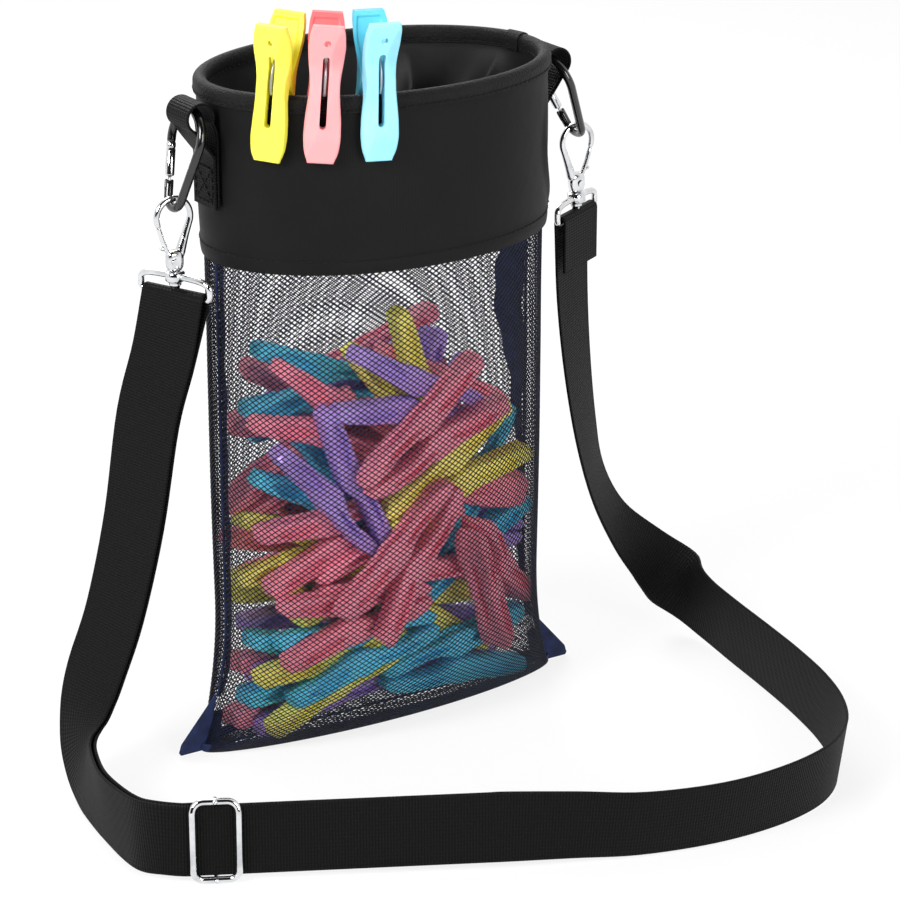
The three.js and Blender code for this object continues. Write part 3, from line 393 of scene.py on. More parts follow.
def settle(piece: bpy.types.Object, body: str, slot: str, *nodes: str) -> bpy.types.Object:
    """Puts a finished piece on its body.

    Args:
        piece: The piece.
        body: The body that carries it.
        slot: The material slot of its finish; not used.
        nodes: The CAD nodes that it stands for.

    Returns:
        The piece.
    """
    if nodes:
        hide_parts(*nodes)
    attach(piece, body)
    log.info("%s rides on %s, %d faces", piece.name, body, len(piece.data.polygons))
    return piece


class Shader:
    """Wires the nodes of one material."""

    def __init__(self, name: str) -> None:
        """Starts from one plain surface."""
        self.material = bpy.data.materials.new(name)
        self.material.use_nodes = True
        self.tree = self.material.node_tree
        self.surface = self.tree.nodes["Principled BSDF"]

    def add(self, kind: str, **settings: object) -> bpy.types.ShaderNode:
        """Adds a node.

        Args:
            kind: The node's type.
            settings: Its properties, and its inputs by name with _ for a space.

        Returns:
            The node.
        """
        node = self.tree.nodes.new(kind)
        for key, value in settings.items():
            if hasattr(node, key):
                setattr(node, key, value)
            else:
                node.inputs[key.replace("_", " ")].default_value = value
        return node

    def link(self, start: Socket, end: Socket) -> None:
        """Joins two sockets."""
        self.tree.links.new(start, end)

    def place_in(self, kind: str) -> Socket:
        """Returns the object's own coordinates or its cloth coordinates."""
        return self.add("ShaderNodeTexCoord").outputs[kind]

    def stretched(self, spot: Socket, scale: Point) -> Socket:
        """Returns a place scaled along its three directions."""
        mapping = self.add("ShaderNodeMapping")
        mapping.inputs["Scale"].default_value = scale
        self.link(spot, mapping.inputs["Vector"])
        return mapping.outputs["Vector"]

    def noise(self, spot: Socket, scale: float, detail: float = 3) -> Socket:
        """Returns a cloudy value at each place."""
        node = self.add("ShaderNodeTexNoise", Scale=scale, Detail=detail)
        self.link(spot, node.inputs["Vector"])
        return node.outputs["Fac"]

    def bands(self, spot: Socket, direction: str, pitch: float) -> Socket:
        """Returns even ribs of one pitch in metres."""
        node = self.add("ShaderNodeTexWave", wave_type="BANDS", bands_direction=direction)
        node.inputs["Scale"].default_value = BAND_PITCH / pitch
        node.inputs["Distortion"].default_value = 0.0
        self.link(spot, node.inputs["Vector"])
        return node.outputs["Fac"]

    def ramp(self, value: Socket, *stops: tuple[float, Point]) -> Socket:
        """Returns colours by value.

        Args:
            value: The value that chooses.
            stops: Each a position from 0 to 1 and a colour.

        Returns:
            The colour socket.
        """
        node = self.add("ShaderNodeValToRGB")
        spots = node.color_ramp.elements
        while len(spots) < len(stops):
            spots.new(0.5)
        for spot, (position, colour) in zip(spots, stops):
            spot.position = position
            spot.color = (*colour, 1)
        self.link(value, node.inputs["Fac"])
        return node.outputs["Color"]

    def spread(self, value: Socket, low: float, high: float) -> Socket:
        """Returns a value from 0 to 1 moved into a range."""
        node = self.add("ShaderNodeMapRange")
        node.inputs["To Min"].default_value = low
        node.inputs["To Max"].default_value = high
        self.link(value, node.inputs["Value"])
        return node.outputs["Result"]

    def product(self, a: Socket, b: Socket, operation: str) -> Socket:
        """Returns two values combined."""
        node = self.add("ShaderNodeMath", operation=operation)
        self.link(a, node.inputs[0])
        self.link(b, node.inputs[1])
        return node.outputs[0]

    def bump(self, height: Socket, strength: float, depth: float) -> None:
        """Raises the surface by a value, over any earlier bump."""
        node = self.add("ShaderNodeBump", Strength=strength, Distance=depth)
        self.link(height, node.inputs["Height"])
        normal = self.surface.inputs["Normal"]
        if normal.is_linked:
            self.link(normal.links[0].from_socket, node.inputs["Normal"])
        self.link(node.outputs["Normal"], normal)


@dataclass(frozen=True)
class Finish:
    """What a piece is made of."""

    name: str
    roughness: float = 0.5

    def material(self) -> bpy.types.Material:
        """Returns the Blender material, made on first use."""
        found = bpy.data.materials.get(self.name)
        if found:
            return found
        shader = Shader(self.name)
        shader.surface.inputs["Roughness"].default_value = self.roughness
        self.paint(shader)
        return shader.material

    def paint(self, shader: Shader) -> None:
        """Wires the finish into the material."""
        raise NotImplementedError


@dataclass(frozen=True)
class Yarn(Finish):
    """Knitted or twisted thread in a dark tint."""

    dark: Point = (0.0018, 0.0026, 0.0085)
    light: Point = (0.0065, 0.0095, 0.03)
    grain: float = 900

    def paint(self, shader: Shader) -> None:
        """Mottles the thread and roughens it finely."""
        spot = shader.place_in("Object")
        tint = shader.noise(spot, self.grain * 0.2)
        colour = shader.ramp(tint, (0.3, self.dark), (0.75, self.light))
        shader.link(colour, shader.surface.inputs["Base Color"])
        shader.surface.inputs["Specular IOR Level"].default_value = 0.2
        shader.surface.inputs["Sheen Weight"].default_value = 0.02
        shader.surface.inputs["Sheen Roughness"].default_value = 0.5
        shader.bump(shader.noise(spot, self.grain * 4), 0.35, 0.0002)


@dataclass(frozen=True)
class Nylon(Finish):
    """Plain-woven black nylon with a faint sheen."""

    dark: Point = (0.0014, 0.0014, 0.0015)
    light: Point = (0.0042, 0.0042, 0.0044)
    thread: float = 0.0007
    grain: float = 0.0
    shine: float = 0.16

    def paint(self, shader: Shader) -> None:
        """Weaves two sets of threads and lets the cloth's sheen wander."""
        spot = shader.place_in("Object")
        cloth = shader.place_in("UV")
        cloud = shader.noise(spot, 28, 4)
        colour = shader.ramp(cloud, (0.25, self.dark), (0.8, self.light))
        shader.link(colour, shader.surface.inputs["Base Color"])
        shader.link(shader.spread(cloud, 0.48, 0.68), shader.surface.inputs["Roughness"])
        shader.surface.inputs["Specular IOR Level"].default_value = self.shine
        shader.surface.inputs["Sheen Weight"].default_value = 0.012
        shader.surface.inputs["Sheen Roughness"].default_value = 0.4
        warp = shader.bands(cloth, "X", self.thread)
        weft = shader.bands(cloth, "Y", self.thread)
        shader.bump(shader.product(warp, weft, "MULTIPLY"), 0.35, 0.0002)
        shader.bump(shader.noise(spot, 60, 2), 0.25, 0.0015)
        if self.grain:
            shader.bump(shader.noise(spot, 950, 3), self.grain, 0.0009)


@dataclass(frozen=True)
class Webbing(Finish):
    """Black strap webbing: ribs across, cords along."""

    rib: float = 0.0015
    cord: float = 0.0021
    # Colours of the weave's hollows and of its thread tops: painted shade and painted light.
    dark: Point = (0.0006, 0.0006, 0.0005)
    light: Point = (0.0045, 0.0045, 0.0042)

    def paint(self, shader: Shader) -> None:
        """Crosses ribs with cords, darkens the hollows between the threads as painted shade and lightens
        their tops as painted light.
        """
        cloth = shader.place_in("UV")
        ribs = shader.bands(cloth, "Y", self.rib)
        cords = shader.bands(cloth, "X", self.cord)
        weave = shader.product(ribs, shader.spread(cords, 0.45, 1.0), "MULTIPLY")
        fuzz = shader.noise(shader.place_in("Object"), 1600, 2)
        height = shader.product(weave, shader.spread(fuzz, 0.6, 1.2), "MULTIPLY")
        # Colour follows the weave's height: painted shade in its hollows and painted light on its tops,
        # varied at random by the fuzz.
        colour = shader.ramp(height, (0.12, self.dark), (0.85, self.light))
        shader.link(colour, shader.surface.inputs["Base Color"])
        shader.surface.inputs["Specular IOR Level"].default_value = 0.12
        shader.surface.inputs["Sheen Weight"].default_value = 0.008
        shader.bump(weave, 0.8, 0.0005)
        shader.bump(fuzz, 0.3, 0.0002)


@dataclass(frozen=True)
class Metal(Finish):
    """Polished or plated metal with fine wear."""

    colour: Point = (0.78, 0.79, 0.8)
    worn: Point = (0.62, 0.63, 0.65)
    metallic: float = 1.0
    coat: float = 0.0

    def paint(self, shader: Shader) -> None:
        """Clouds the polish and adds handling marks."""
        spot = shader.place_in("Object")
        cloud = shader.noise(spot, 130, 5)
        colour = shader.ramp(cloud, (0.35, self.worn), (0.6, self.colour))
        shader.link(colour, shader.surface.inputs["Base Color"])
        shader.link(
            shader.spread(cloud, self.roughness * 1.4, self.roughness * 0.7),
            shader.surface.inputs["Roughness"],
        )
        shader.surface.inputs["Metallic"].default_value = self.metallic
        shader.surface.inputs["Coat Weight"].default_value = self.coat
        shader.bump(shader.noise(shader.stretched(spot, (1, 1, 0.2)), 2400, 2), 0.06, 0.0002)


@dataclass(frozen=True)
class Moulded(Finish):
    """Injection-moulded peg plastic in one colour."""

    colour: Point = (0.8, 0.3, 0.4)
    shade: Point = (0.7, 0.24, 0.33)

    def paint(self, shader: Shader) -> None:
        """Varies the colour a little and gives the moulding a fine skin."""
        spot = shader.place_in("Object")
        cloud = shader.noise(spot, 45, 3)
        colour = shader.ramp(cloud, (0.3, self.shade), (0.7, self.colour))
        shader.link(colour, shader.surface.inputs["Base Color"])
        shader.link(
            shader.spread(shader.noise(spot, 200, 3), self.roughness - 0.08, self.roughness + 0.1),
            shader.surface.inputs["Roughness"],
        )
        shader.surface.inputs["Specular IOR Level"].default_value = 0.4
        shader.bump(shader.noise(spot, 1500, 2), 0.08, 0.0003)


class Finishes:
    """The finishes of the bag."""

    NET = Yarn("net_cord", 0.55)
    SEAM = Yarn("seam_tape", 0.7, (0.006, 0.01, 0.034), (0.016, 0.026, 0.088), 600)
    THREAD = Yarn("sewing_thread", 0.7, (0.0008, 0.0008, 0.0009), (0.003, 0.003, 0.003), 900)
    NYLON = Nylon("nylon_cloth", 0.55)
    BINDING = Nylon("binding_tape", 0.7, (0.002, 0.002, 0.0021), (0.0085, 0.0085, 0.0085), 0.0011, 1.0)
    LINING = Nylon("lining_cloth", 0.5, (0.0014, 0.0014, 0.0015), (0.004, 0.004, 0.0042), shine=0.3)
    WEBBING = Webbing("strap_webbing", 0.6)
    CHROME = Metal("chrome_plate", 0.09)
    ENAMEL = Metal("black_enamel", 0.16, (0.003, 0.003, 0.0035), (0.007, 0.007, 0.0075), 0.0, 0.5)
    STEEL = Metal("spring_steel", 0.2, (0.6, 0.6, 0.6), (0.45, 0.45, 0.45))
    HOOP = Metal("hoop_wire", 0.35, (0.35, 0.35, 0.36), (0.25, 0.25, 0.26))
    YELLOW = Moulded("yellow_plastic", 0.42, (0.8, 0.77, 0.08), (0.77, 0.72, 0.06))
    PINK = Moulded("pink_plastic", 0.42, (0.83, 0.31, 0.32), (0.8, 0.27, 0.28))
    # The three back-lever finishes are darker, deeper copies of the front colours: painted shade for the
    # levers that face away from the light.
    DEEP_YELLOW = Moulded("deep_yellow_plastic", 0.42, (0.84, 0.78, 0.025), (0.8, 0.72, 0.02))
    CORAL = Moulded("coral_plastic", 0.42, (0.86, 0.15, 0.16), (0.82, 0.12, 0.13))
    SKY = Moulded("sky_plastic", 0.42, (0.09, 0.54, 0.7), (0.07, 0.48, 0.66))
    BLUE = Moulded("blue_plastic", 0.42, (0.28, 0.67, 0.8), (0.24, 0.62, 0.77))
    # The pouch's peg colours are lightened past their own: painted light that makes up for the shade of the
    # net in front of them.
    ROSE = Moulded("rose_plastic", 0.5, (1.0, 0.33, 0.42), (0.95, 0.27, 0.36))
    PURPLE = Moulded("purple_plastic", 0.5, (0.52, 0.34, 0.82), (0.46, 0.29, 0.75))
    OLIVE = Moulded("olive_plastic", 0.5, (1.0, 0.92, 0.2), (0.94, 0.85, 0.16))
    TEAL = Moulded("teal_plastic", 0.5, (0.12, 0.68, 0.92), (0.09, 0.6, 0.86))


@dataclass
class Studio:
    """Camera, light and the white floor."""

    eye: Point = (-0.8924, -1.4563, 0.779)
    look: Point = (0.508, 0.7884, -0.3469)
    lens: float = 137.1
    sensor: float = 36
    aim: Point = (0, -0.05, 0.18)
    sky_grey: float = 0.52
    dark_side: Pair = (0.38, 0.56)
    floor_size: float = 24.0
    floor_drop: float = 0.0006
    floor_glow: float = 0.8

    def build_camera(self) -> None:
        """Sets the camera where the photograph was taken."""
        data = bpy.data.cameras.new("camera")
        data.lens = self.lens
        data.sensor_width = self.sensor
        camera = bpy.data.objects.new("camera", data)
        camera.location = self.eye
        camera.rotation_euler = Vector(self.look).to_track_quat("-Z", "Y").to_euler()
        bpy.context.scene.collection.objects.link(camera)
        bpy.context.scene.camera = camera
        log.info("camera at %s", self.eye)

    def build_light(self) -> None:
        """Hangs a large soft key, a fill and a rim light, under a pale sky.

        Shiny pieces mirror a white studio with one dark side, behind the camera.
        """
        self.lamp("key", (-1.75, -0.55, 1.35), 0.8, 44)
        self.lamp("fill", (0.2, -1.9, 0.8), 0.9, 20)
        self.lamp("rim", (0.3, 1.4, 1.5), 1.0, 22)
        world = bpy.data.worlds.new("sky")
        world.use_nodes = True
        tree = world.node_tree
        sky = tree.nodes["Background"]
        sky.inputs["Color"].default_value = (self.sky_grey, self.sky_grey, self.sky_grey, 1)
        bright = tree.nodes.new("ShaderNodeBackground")
        bright.inputs["Color"].default_value = (1, 1, 1, 1)
        mirrored = tree.nodes.new("ShaderNodeBackground")
        spot = tree.nodes.new("ShaderNodeTexCoord")
        facing = tree.nodes.new("ShaderNodeVectorMath")
        facing.operation = "DOT_PRODUCT"
        facing.inputs[1].default_value = [-part for part in self.look]
        shade = tree.nodes.new("ShaderNodeValToRGB")
        shade.color_ramp.elements[0].position = self.dark_side[0]
        shade.color_ramp.elements[0].color = (1, 1, 1, 1)
        shade.color_ramp.elements[1].position = self.dark_side[1]
        shade.color_ramp.elements[1].color = (0.012, 0.012, 0.014, 1)
        tree.links.new(spot.outputs["Generated"], facing.inputs[0])
        tree.links.new(facing.outputs["Value"], shade.inputs["Fac"])
        tree.links.new(shade.outputs["Color"], mirrored.inputs["Color"])
        path = tree.nodes.new("ShaderNodeLightPath")
        last = sky.outputs[0]
        for ray, light in (("Is Glossy Ray", mirrored), ("Is Camera Ray", bright)):
            mix = tree.nodes.new("ShaderNodeMixShader")
            tree.links.new(path.outputs[ray], mix.inputs["Fac"])
            tree.links.new(last, mix.inputs[1])
            tree.links.new(light.outputs[0], mix.inputs[2])
            last = mix.outputs[0]
        tree.links.new(last, tree.nodes["World Output"].inputs["Surface"])
        bpy.context.scene.world = world
        bpy.context.scene.view_settings.view_transform = "Standard"

    def lamp(self, name: str, spot: Point, size: float, watts: float) -> None:
        """Hangs one square soft lamp aimed at the bag."""
        data = bpy.data.lights.new(name, "AREA")
        data.energy = watts
        data.size = size
        lamp = bpy.data.objects.new(name, data)
        lamp.location = spot
        lamp.rotation_euler = (Vector(self.aim) - Vector(spot)).to_track_quat("-Z", "Y").to_euler()
        bpy.context.scene.collection.objects.link(lamp)
        log.info("%s lamp, %d W", name, watts)

    def build_floor(self) -> None:
        """Lays a white floor that shows white to the camera and keeps the bag's shadow."""
        half = self.floor_size / 2
        mesh = bpy.data.meshes.new("floor")
        corners = [(x * half, y * half, -self.floor_drop) for x, y in ((-1, -1), (1, -1), (1, 1), (-1, 1))]
        mesh.from_pydata(corners, [], [(0, 1, 2, 3)])
        floor = bpy.data.objects.new("floor", mesh)
        bpy.context.scene.collection.objects.link(floor)
        shader = Shader("white_floor")
        shader.surface.inputs["Base Color"].default_value = (0.9, 0.9, 0.9, 1)
        shader.surface.inputs["Roughness"].default_value = 0.9
        shader.surface.inputs["Specular IOR Level"].default_value = 0.0
        glow = shader.add("ShaderNodeEmission")
        glow.inputs["Color"].default_value = (1, 1, 1, 1)
        path = shader.add("ShaderNodeLightPath")
        mix = shader.add("ShaderNodeMixShader")
        seen = shader.product(path.outputs["Is Camera Ray"], path.outputs["Is Glossy Ray"], "MAXIMUM")
        share = shader.spread(seen, 0.0, self.floor_glow)
        shader.link(share, mix.inputs["Fac"])
        shader.link(shader.surface.outputs[0], mix.inputs[1])
        shader.link(glow.outputs[0], mix.inputs[2])
        shader.link(mix.outputs[0], shader.tree.nodes["Material Output"].inputs["Surface"])
        mesh.materials.append(shader.material)
        log.info("floor is %.0f m wide", self.floor_size)


def strap_section(width: float, thickness: float) -> Array:
    """Returns the outline of a woven strap with slightly thick selvedges."""
    half = width / 2
    across = np.array([-1, -0.985, -0.95, -0.9, -0.6, -0.3, 0, 0.3, 0.6, 0.9, 0.95, 0.985, 1]) * half
    rise = np.array([0.25, 0.42, 0.5, 0.46, 0.46, 0.46, 0.46, 0.46, 0.46, 0.46, 0.5, 0.42, 0.25]) * thickness
    upper = np.stack([across, rise], axis=1)
    lower = np.stack([across[::-1], -rise[::-1]], axis=1)
    return np.vstack([upper, lower])


def squared(points: Array, across: Array) -> tuple[Array, Array]:
    """Squares a strap's width to its line.

    Args:
        points: The line of the strap's middle.
        across: About where its width points at each place.

    Returns:
        The exact direction of the width, and of the upper face.
    """
    along = unit(np.gradient(points, axis=0))
    wide = unit(across - along * (across * along).sum(axis=1, keepdims=True))
    return wide, np.cross(along, wide)


@dataclass
class Strap:
    """The shoulder strap: its long run and the doubled run that lets it adjust."""

    width: float = 0.038
    thickness: float = 0.0016
    fold_radius: float = 0.0028
    tail: float = 0.028
    spacing: float = 0.0028
    slider_offset: float = 0.014
    smoothing: int = 6
    run_height: float = 0.0228
    run_start: Pair = (-0.191, -0.128)
    run_end: Pair = (-0.050, -0.2004)
    run_shares: tuple[float, ...] = (0, 0.06, 0.2, 0.4, 0.6, 0.8, 0.94, 1)
    left_fall: tuple[Station, ...] = (
        ((-0.127, -0.001, 0.226), (0.42, -0.91, 0)),
        ((-0.137, 0, 0.192), (0.4, -0.92, 0)),
        ((-0.147, 0, 0.138), (0.35, -0.94, 0)),
        ((-0.160, -0.001, 0.092), (0.31, -0.95, 0)),
        ((-0.172, -0.001, 0.062), (0.3, -0.95, 0)),
        ((-0.1785, -0.002, 0.046), (0.27, -0.93, 0.2)),
        ((-0.184, -0.006, 0.033), (0.2, -0.85, 0.5)),
        ((-0.188, -0.014, 0.0245), (0.2, -0.52, 0.83)),
        ((-0.1925, -0.026, 0.0202), (0.14, -0.2, 0.97)),
        ((-0.198, -0.043, 0.0196), (0.04, -0.08, 0.99)),
        ((-0.203, -0.066, 0.0194), (-0.06, -0.08, 0.99)),
        ((-0.205, -0.090, 0.0198), (-0.03, -0.03, 1)),
        ((-0.205, -0.108, 0.0215), (0, 0, 1)),
        ((-0.200, -0.120, 0.023), (0, 0, 1)),
    )
    right_rise: tuple[Station, ...] = (
        ((-0.020, -0.215, 0.0218), (-0.04, -0.08, 1)),
        ((0.012, -0.229, 0.0198), (-0.06, -0.17, 0.98)),
        ((0.052, -0.239, 0.0192), (-0.02, -0.22, 0.97)),
        ((0.090, -0.240, 0.0192), (0.02, -0.2, 0.98)),
        ((0.122, -0.233, 0.0193), (0.08, -0.15, 0.98)),
        ((0.145, -0.218, 0.0194), (0.1, -0.08, 0.99)),
        ((0.161, -0.196, 0.0194), (0.1, -0.03, 0.99)),
        ((0.173, -0.168, 0.0194), (0.08, 0, 1)),
        ((0.182, -0.134, 0.0194), (0.05, 0, 1)),
        ((0.189, -0.098, 0.0194), (0.03, 0, 1)),
        ((0.195, -0.060, 0.0198), (0.03, 0.03, 1)),
        ((0.199, -0.028, 0.022), (0.05, 0.12, 0.99)),
        ((0.197, -0.006, 0.030), (0.15, 0.3, 0.94)),
        ((0.184, 0.005, 0.045), (0.32, 0.5, 0.8)),
        ((0.166, 0.009, 0.066), (0.45, 0.66, 0.6)),
        ((0.150, 0.008, 0.095), (0.6, 0.7, 0.4)),
        ((0.139, 0.005, 0.130), (0.74, 0.64, 0.2)),
        ((0.131, 0.003, 0.172), (0.82, 0.57, 0.05)),
        ((0.127, 0.003, 0.214), (0.86, 0.51, 0)),
    )

    def bar(self, side: Side) -> tuple[Array, Array]:
        """Returns the middle and the direction of one base's bar."""
        joint = JOINTS[f"{side.word}_strap_base_tilt"]
        return np.array(joint["pos_m"]), unit(np.array(joint["axis"]))

    def fold(self, side: Side) -> tuple[Array, Array]:
        """Returns the strap's turn over one bar, from its inner to its outer side, and its width."""
        middle, across = self.bar(side)
        facing = np.cross(-UP, across)
        turns = np.radians(np.linspace(180, 0, 13))
        ring = middle + self.fold_radius * (np.cos(turns)[:, None] * facing + np.sin(turns)[:, None] * UP)
        return ring, everywhere(across, ring)

    def run_along(self) -> tuple[Array, Array]:
        """Returns the start of the straight front run and its direction."""
        start = np.array([*self.run_start, self.run_height])
        end = np.array([*self.run_end, self.run_height])
        return start, end - start

    def middle(self) -> tuple[Array, Array]:
        """Returns the smooth line between the two folds and the direction of its width."""
        left, left_across = self.fold(Side.LEFT)
        right, right_across = self.fold(Side.RIGHT)
        start, run = self.run_along()
        straight = [start + share * run for share in self.run_shares]
        fall, rise = zip(*self.left_fall), zip(*self.right_rise)
        fall_points, fall_across = fall
        rise_points, rise_across = rise
        points = np.vstack([left[-1:], fall_points, straight, rise_points, right[:1]])
        upright = [UP] * len(straight)
        across = np.vstack([left_across[:1], fall_across, upright, rise_across, right_across[:1]])
        return smooth_path(points, self.smoothing), smooth_path(across, self.smoothing)

    def main_route(self) -> tuple[Array, Array]:
        """Returns the middle line of the long run and the direction of its width."""
        left, left_across = self.fold(Side.LEFT)
        right, right_across = self.fold(Side.RIGHT)
        points, across = self.middle()
        tail = right[-1] - UP * self.tail * np.array([[0.25], [0.5], [0.75], [1.0]])
        line = np.vstack([left, points[1:-1], right, tail])
        return line, np.vstack([left_across, across[1:-1], right_across, right_across[:4]])

    def adjuster_route(self) -> tuple[Array, Array]:
        """Returns the line of the inner run, from the left bar to the slider, and its width."""
        fold, fold_across = self.fold(Side.LEFT)
        points, across = self.middle()
        wide, face = squared(points, across)
        doubled = slice(self.smoothing, self.smoothing * (len(self.left_fall) + 1) + 1)
        inner = (points - face * self.spacing)[doubled]
        start, run = self.run_along()
        end = start + unit(run) * self.slider_offset - np.cross(unit(run), UP) * self.spacing
        head = fold[0] - UP * np.array([[0.0003], [0.0031]])
        return np.vstack([head, inner, end]), np.vstack([fold_across[:2], wide[doubled], UP])

    def build(self) -> None:
        for name, node, (line, across) in (
            ("strap_long_run", "strap_main", self.main_route()),
            ("strap_inner_run", "strap_adjuster_run", self.adjuster_route()),
        ):
            wide, face = squared(line, across)
            form = Form()
            form.sweep(line, wide, face, strap_section(self.width, self.thickness))
            piece = form.build(name, Finishes.WEBBING)
            settle(piece, "bag", "webbing", node)
            log.info("%s is %.3f m long", name, path_length(line))


@dataclass(frozen=True)
class PouchForm:
    """The oval sections of the pouch, from its base to its mouth."""

    height: float = 0.360
    mouth: Pair = (0.097, 0.068)
    belly: Pair = (0.096, 0.062)
    base: Pair = (0.112, 0.020)
    round_height: float = 0.075
    roundness: float = 0.6
    collar_bottom: float = 0.268
    net_top: float = 0.276
    net_inset: float = 0.0022
    seam_gap: float = 0.0008
    rim_inset: float = 0.00205
    rim_height: float = 0.35645
    rim_radius: float = 0.00355

    def half_axes(self, z: Array) -> tuple[Array, Array]:
        """Returns the half width and half depth of the pouch at each height."""
        z = np.asarray(z, float)
        low = np.clip(1 - z / self.round_height, 0, 1) ** 2
        share = np.clip((z - self.round_height) / (self.height - self.round_height), 0, 1)
        width = self.belly[0] + (self.mouth[0] - self.belly[0]) * share
        depth = self.belly[1] + (self.mouth[1] - self.belly[1]) * share
        width = width + (self.base[0] - self.belly[0]) * low
        rounded = self.base[1] + (self.belly[1] - self.base[1]) * np.power(1 - low, self.roundness)
        return width, np.where(z < self.round_height, rounded, depth)

    def oval(self, angle: Array, z: Array, inset: Array | float = 0.0) -> Array:
        """Returns points on the pouch's outside, moved in by an inset."""
        width, depth = self.half_axes(z)
        angle, z = np.broadcast_arrays(angle, np.asarray(z, float))
        return np.stack([(width - inset) * np.cos(angle), (depth - inset) * np.sin(angle), z], axis=-1)


def outward(angle: Array) -> Array:
    """Returns the level direction out of the mouth's oval at each angle."""
    form = PouchForm()
    ways = [np.cos(angle) / form.mouth[0], np.sin(angle) / form.mouth[1], np.zeros_like(angle)]
    flat = np.stack(ways, axis=-1)
    return unit(flat)


@dataclass
class NetPouch:
    """Two knotted net panels, their seams and their hems."""

    form: PouchForm = field(default_factory=PouchForm)
    cell_width: float = 0.0039
    cell_height: float = 0.0029
    cord_radius: float = 0.00034
    swell: float = 0.0016
    load_span: Pair = (0.012, 0.235)
    load_fade: Pair = (0.05, 0.03)
    seam_foot: float = 0.03
    seam_roll: float = 0.0009
    flap_thickness: float = 0.0009
    flaps: dict[str, tuple[tuple[float, ...], tuple[float, ...]]] = field(
        default_factory=lambda: {
            "left": ((0.03, 0.268), (0.002, 0.0026)),
            "right": (
                (0.03, 0.12, 0.16, 0.195, 0.235, 0.268),
                (0.002, 0.0028, 0.0065, 0.0145, 0.0185, 0.0225),
            ),
        }
    )

    def profile(self) -> tuple[Array, Array, Array]:
        """Returns distance up the panel's middle line, with depth share and height there."""
        heights = self.form.round_height * np.linspace(0, 1, 60) ** 2.2
        heights = np.concatenate([heights, np.linspace(self.form.round_height, self.form.net_top, 40)[1:]])
        _, depth = self.form.half_axes(heights)
        step = np.hypot(np.diff(depth), np.diff(heights))
        gone = np.concatenate([[0], np.cumsum(step)])
        floor_length = depth[0] - self.form.seam_gap
        distance = np.concatenate([[0], floor_length + gone])
        share = np.concatenate([[0], np.ones(len(heights))])
        return distance, share, np.concatenate([[0], heights])

    def angles(self, share: Array) -> Array:
        """Returns angles spaced evenly round half the belly's oval."""
        table = np.linspace(0, math.pi, 400)
        edge = np.stack([self.form.belly[0] * np.cos(table), self.form.belly[1] * np.sin(table)], axis=1)
        gone = distances(edge)
        return np.interp(share * gone[-1], gone, table)

    def surface(self, facing: int, share: Array, distance: Array) -> Array:
        """Returns points on one panel.

        Args:
            facing: -1 for the front panel and 1 for the back one.
            share: How far round the half oval, from 0 to 1.
            distance: How far up from the bottom seam.

        Returns:
            The points.
        """
        up, floor_share, heights = self.profile()
        z = np.interp(distance, up, heights)
        reach = np.interp(distance, up, floor_share)
        angle = self.angles(share)
        width, depth = self.form.half_axes(z)
        inset, gap = self.form.net_inset, self.form.seam_gap
        x = (width - inset) * np.cos(angle)
        y = gap + (depth - inset - gap) * np.sin(angle) * reach
        points = np.stack([x, facing * y, z], axis=-1)
        (low, high), (low_fade, high_fade) = self.load_span, self.load_fade
        loaded = np.clip((high - z) / high_fade, 0, 1) * np.clip((z - low) / low_fade, 0, 1)
        bulge = self.swell * (0.5 + 0.5 * waves(points, 5, 0.085)) * loaded * np.sin(angle)
        return points + unit(points * np.array([1, 1.6, 0])) * bulge[..., None]

    def panel(self, facing: int, name: str, node: str) -> None:
        """Knots one panel from two sets of slanting cords."""
        up, _, _ = self.profile()
        wide, deep = self.form.belly
        around = math.pi / 2 * (3 * (wide + deep) - math.sqrt((3 * wide + deep) * (wide + 3 * deep)))
        cols = 2 * round(around / self.cell_width)
        rows = 2 * round(up[-1] / self.cell_height)
        columns, levels = np.linspace(0, 1, cols + 1), np.linspace(0, up[-1], rows + 1)
        share, distance = np.meshgrid(columns, levels, indexing="ij")
        points = self.surface(facing, share, distance)
        across = np.gradient(points, axis=0)
        upward = np.gradient(points, axis=1)
        normal = unit(np.cross(across, upward) + 1e-9)
        form = Form()
        for lean in (1, -1):
            self.cords(form, points, normal, lean)
        settle(form.build(name, Finishes.NET, 180), "bag", "net", node)

    def cords(self, form: Form, points: Array, normal: Array, lean: int) -> None:
        """Adds every cord that leans one way.

        Args:
            form: The panel being knotted.
            points: The knots, column by column.
            normal: The way out of the net at each knot.
            lean: 1 for cords rising with the columns, -1 for cords falling.
        """
        cols, rows = points.shape[:2]
        i, j = np.meshgrid(np.arange(cols), np.arange(rows), indexing="ij")
        knot = (i + j) % 2 == 0
        number = np.full((cols, rows), -1)
        number[knot] = np.arange(knot.sum())
        before = (np.clip(i - 1, 0, cols - 1), np.clip(j - lean, 0, rows - 1))
        after = (np.clip(i + 1, 0, cols - 1), np.clip(j + lean, 0, rows - 1))
        along = unit(points[after] - points[before])
        side = unit(np.cross(normal, along))
        centre = points + normal * self.cord_radius * 0.4 * lean
        thick = self.cord_radius
        turns = np.radians([90, 210, 330])
        ring = np.stack(
            [centre + thick * (normal * math.sin(turn) + side * math.cos(turn)) for turn in turns],
            axis=2,
        )[knot]
        reach = knot & (i + 1 < cols) & (j + lean >= 0) & (j + lean < rows)
        start, end = number[reach], number[i[reach] + 1, j[reach] + lean]
        faces = []
        for k in range(3):
            m = (k + 1) % 3
            faces.append(np.stack([start * 3 + k, start * 3 + m, end * 3 + m, end * 3 + k], axis=1))
        form.add(ring.reshape(-1, 3), np.vstack(faces))

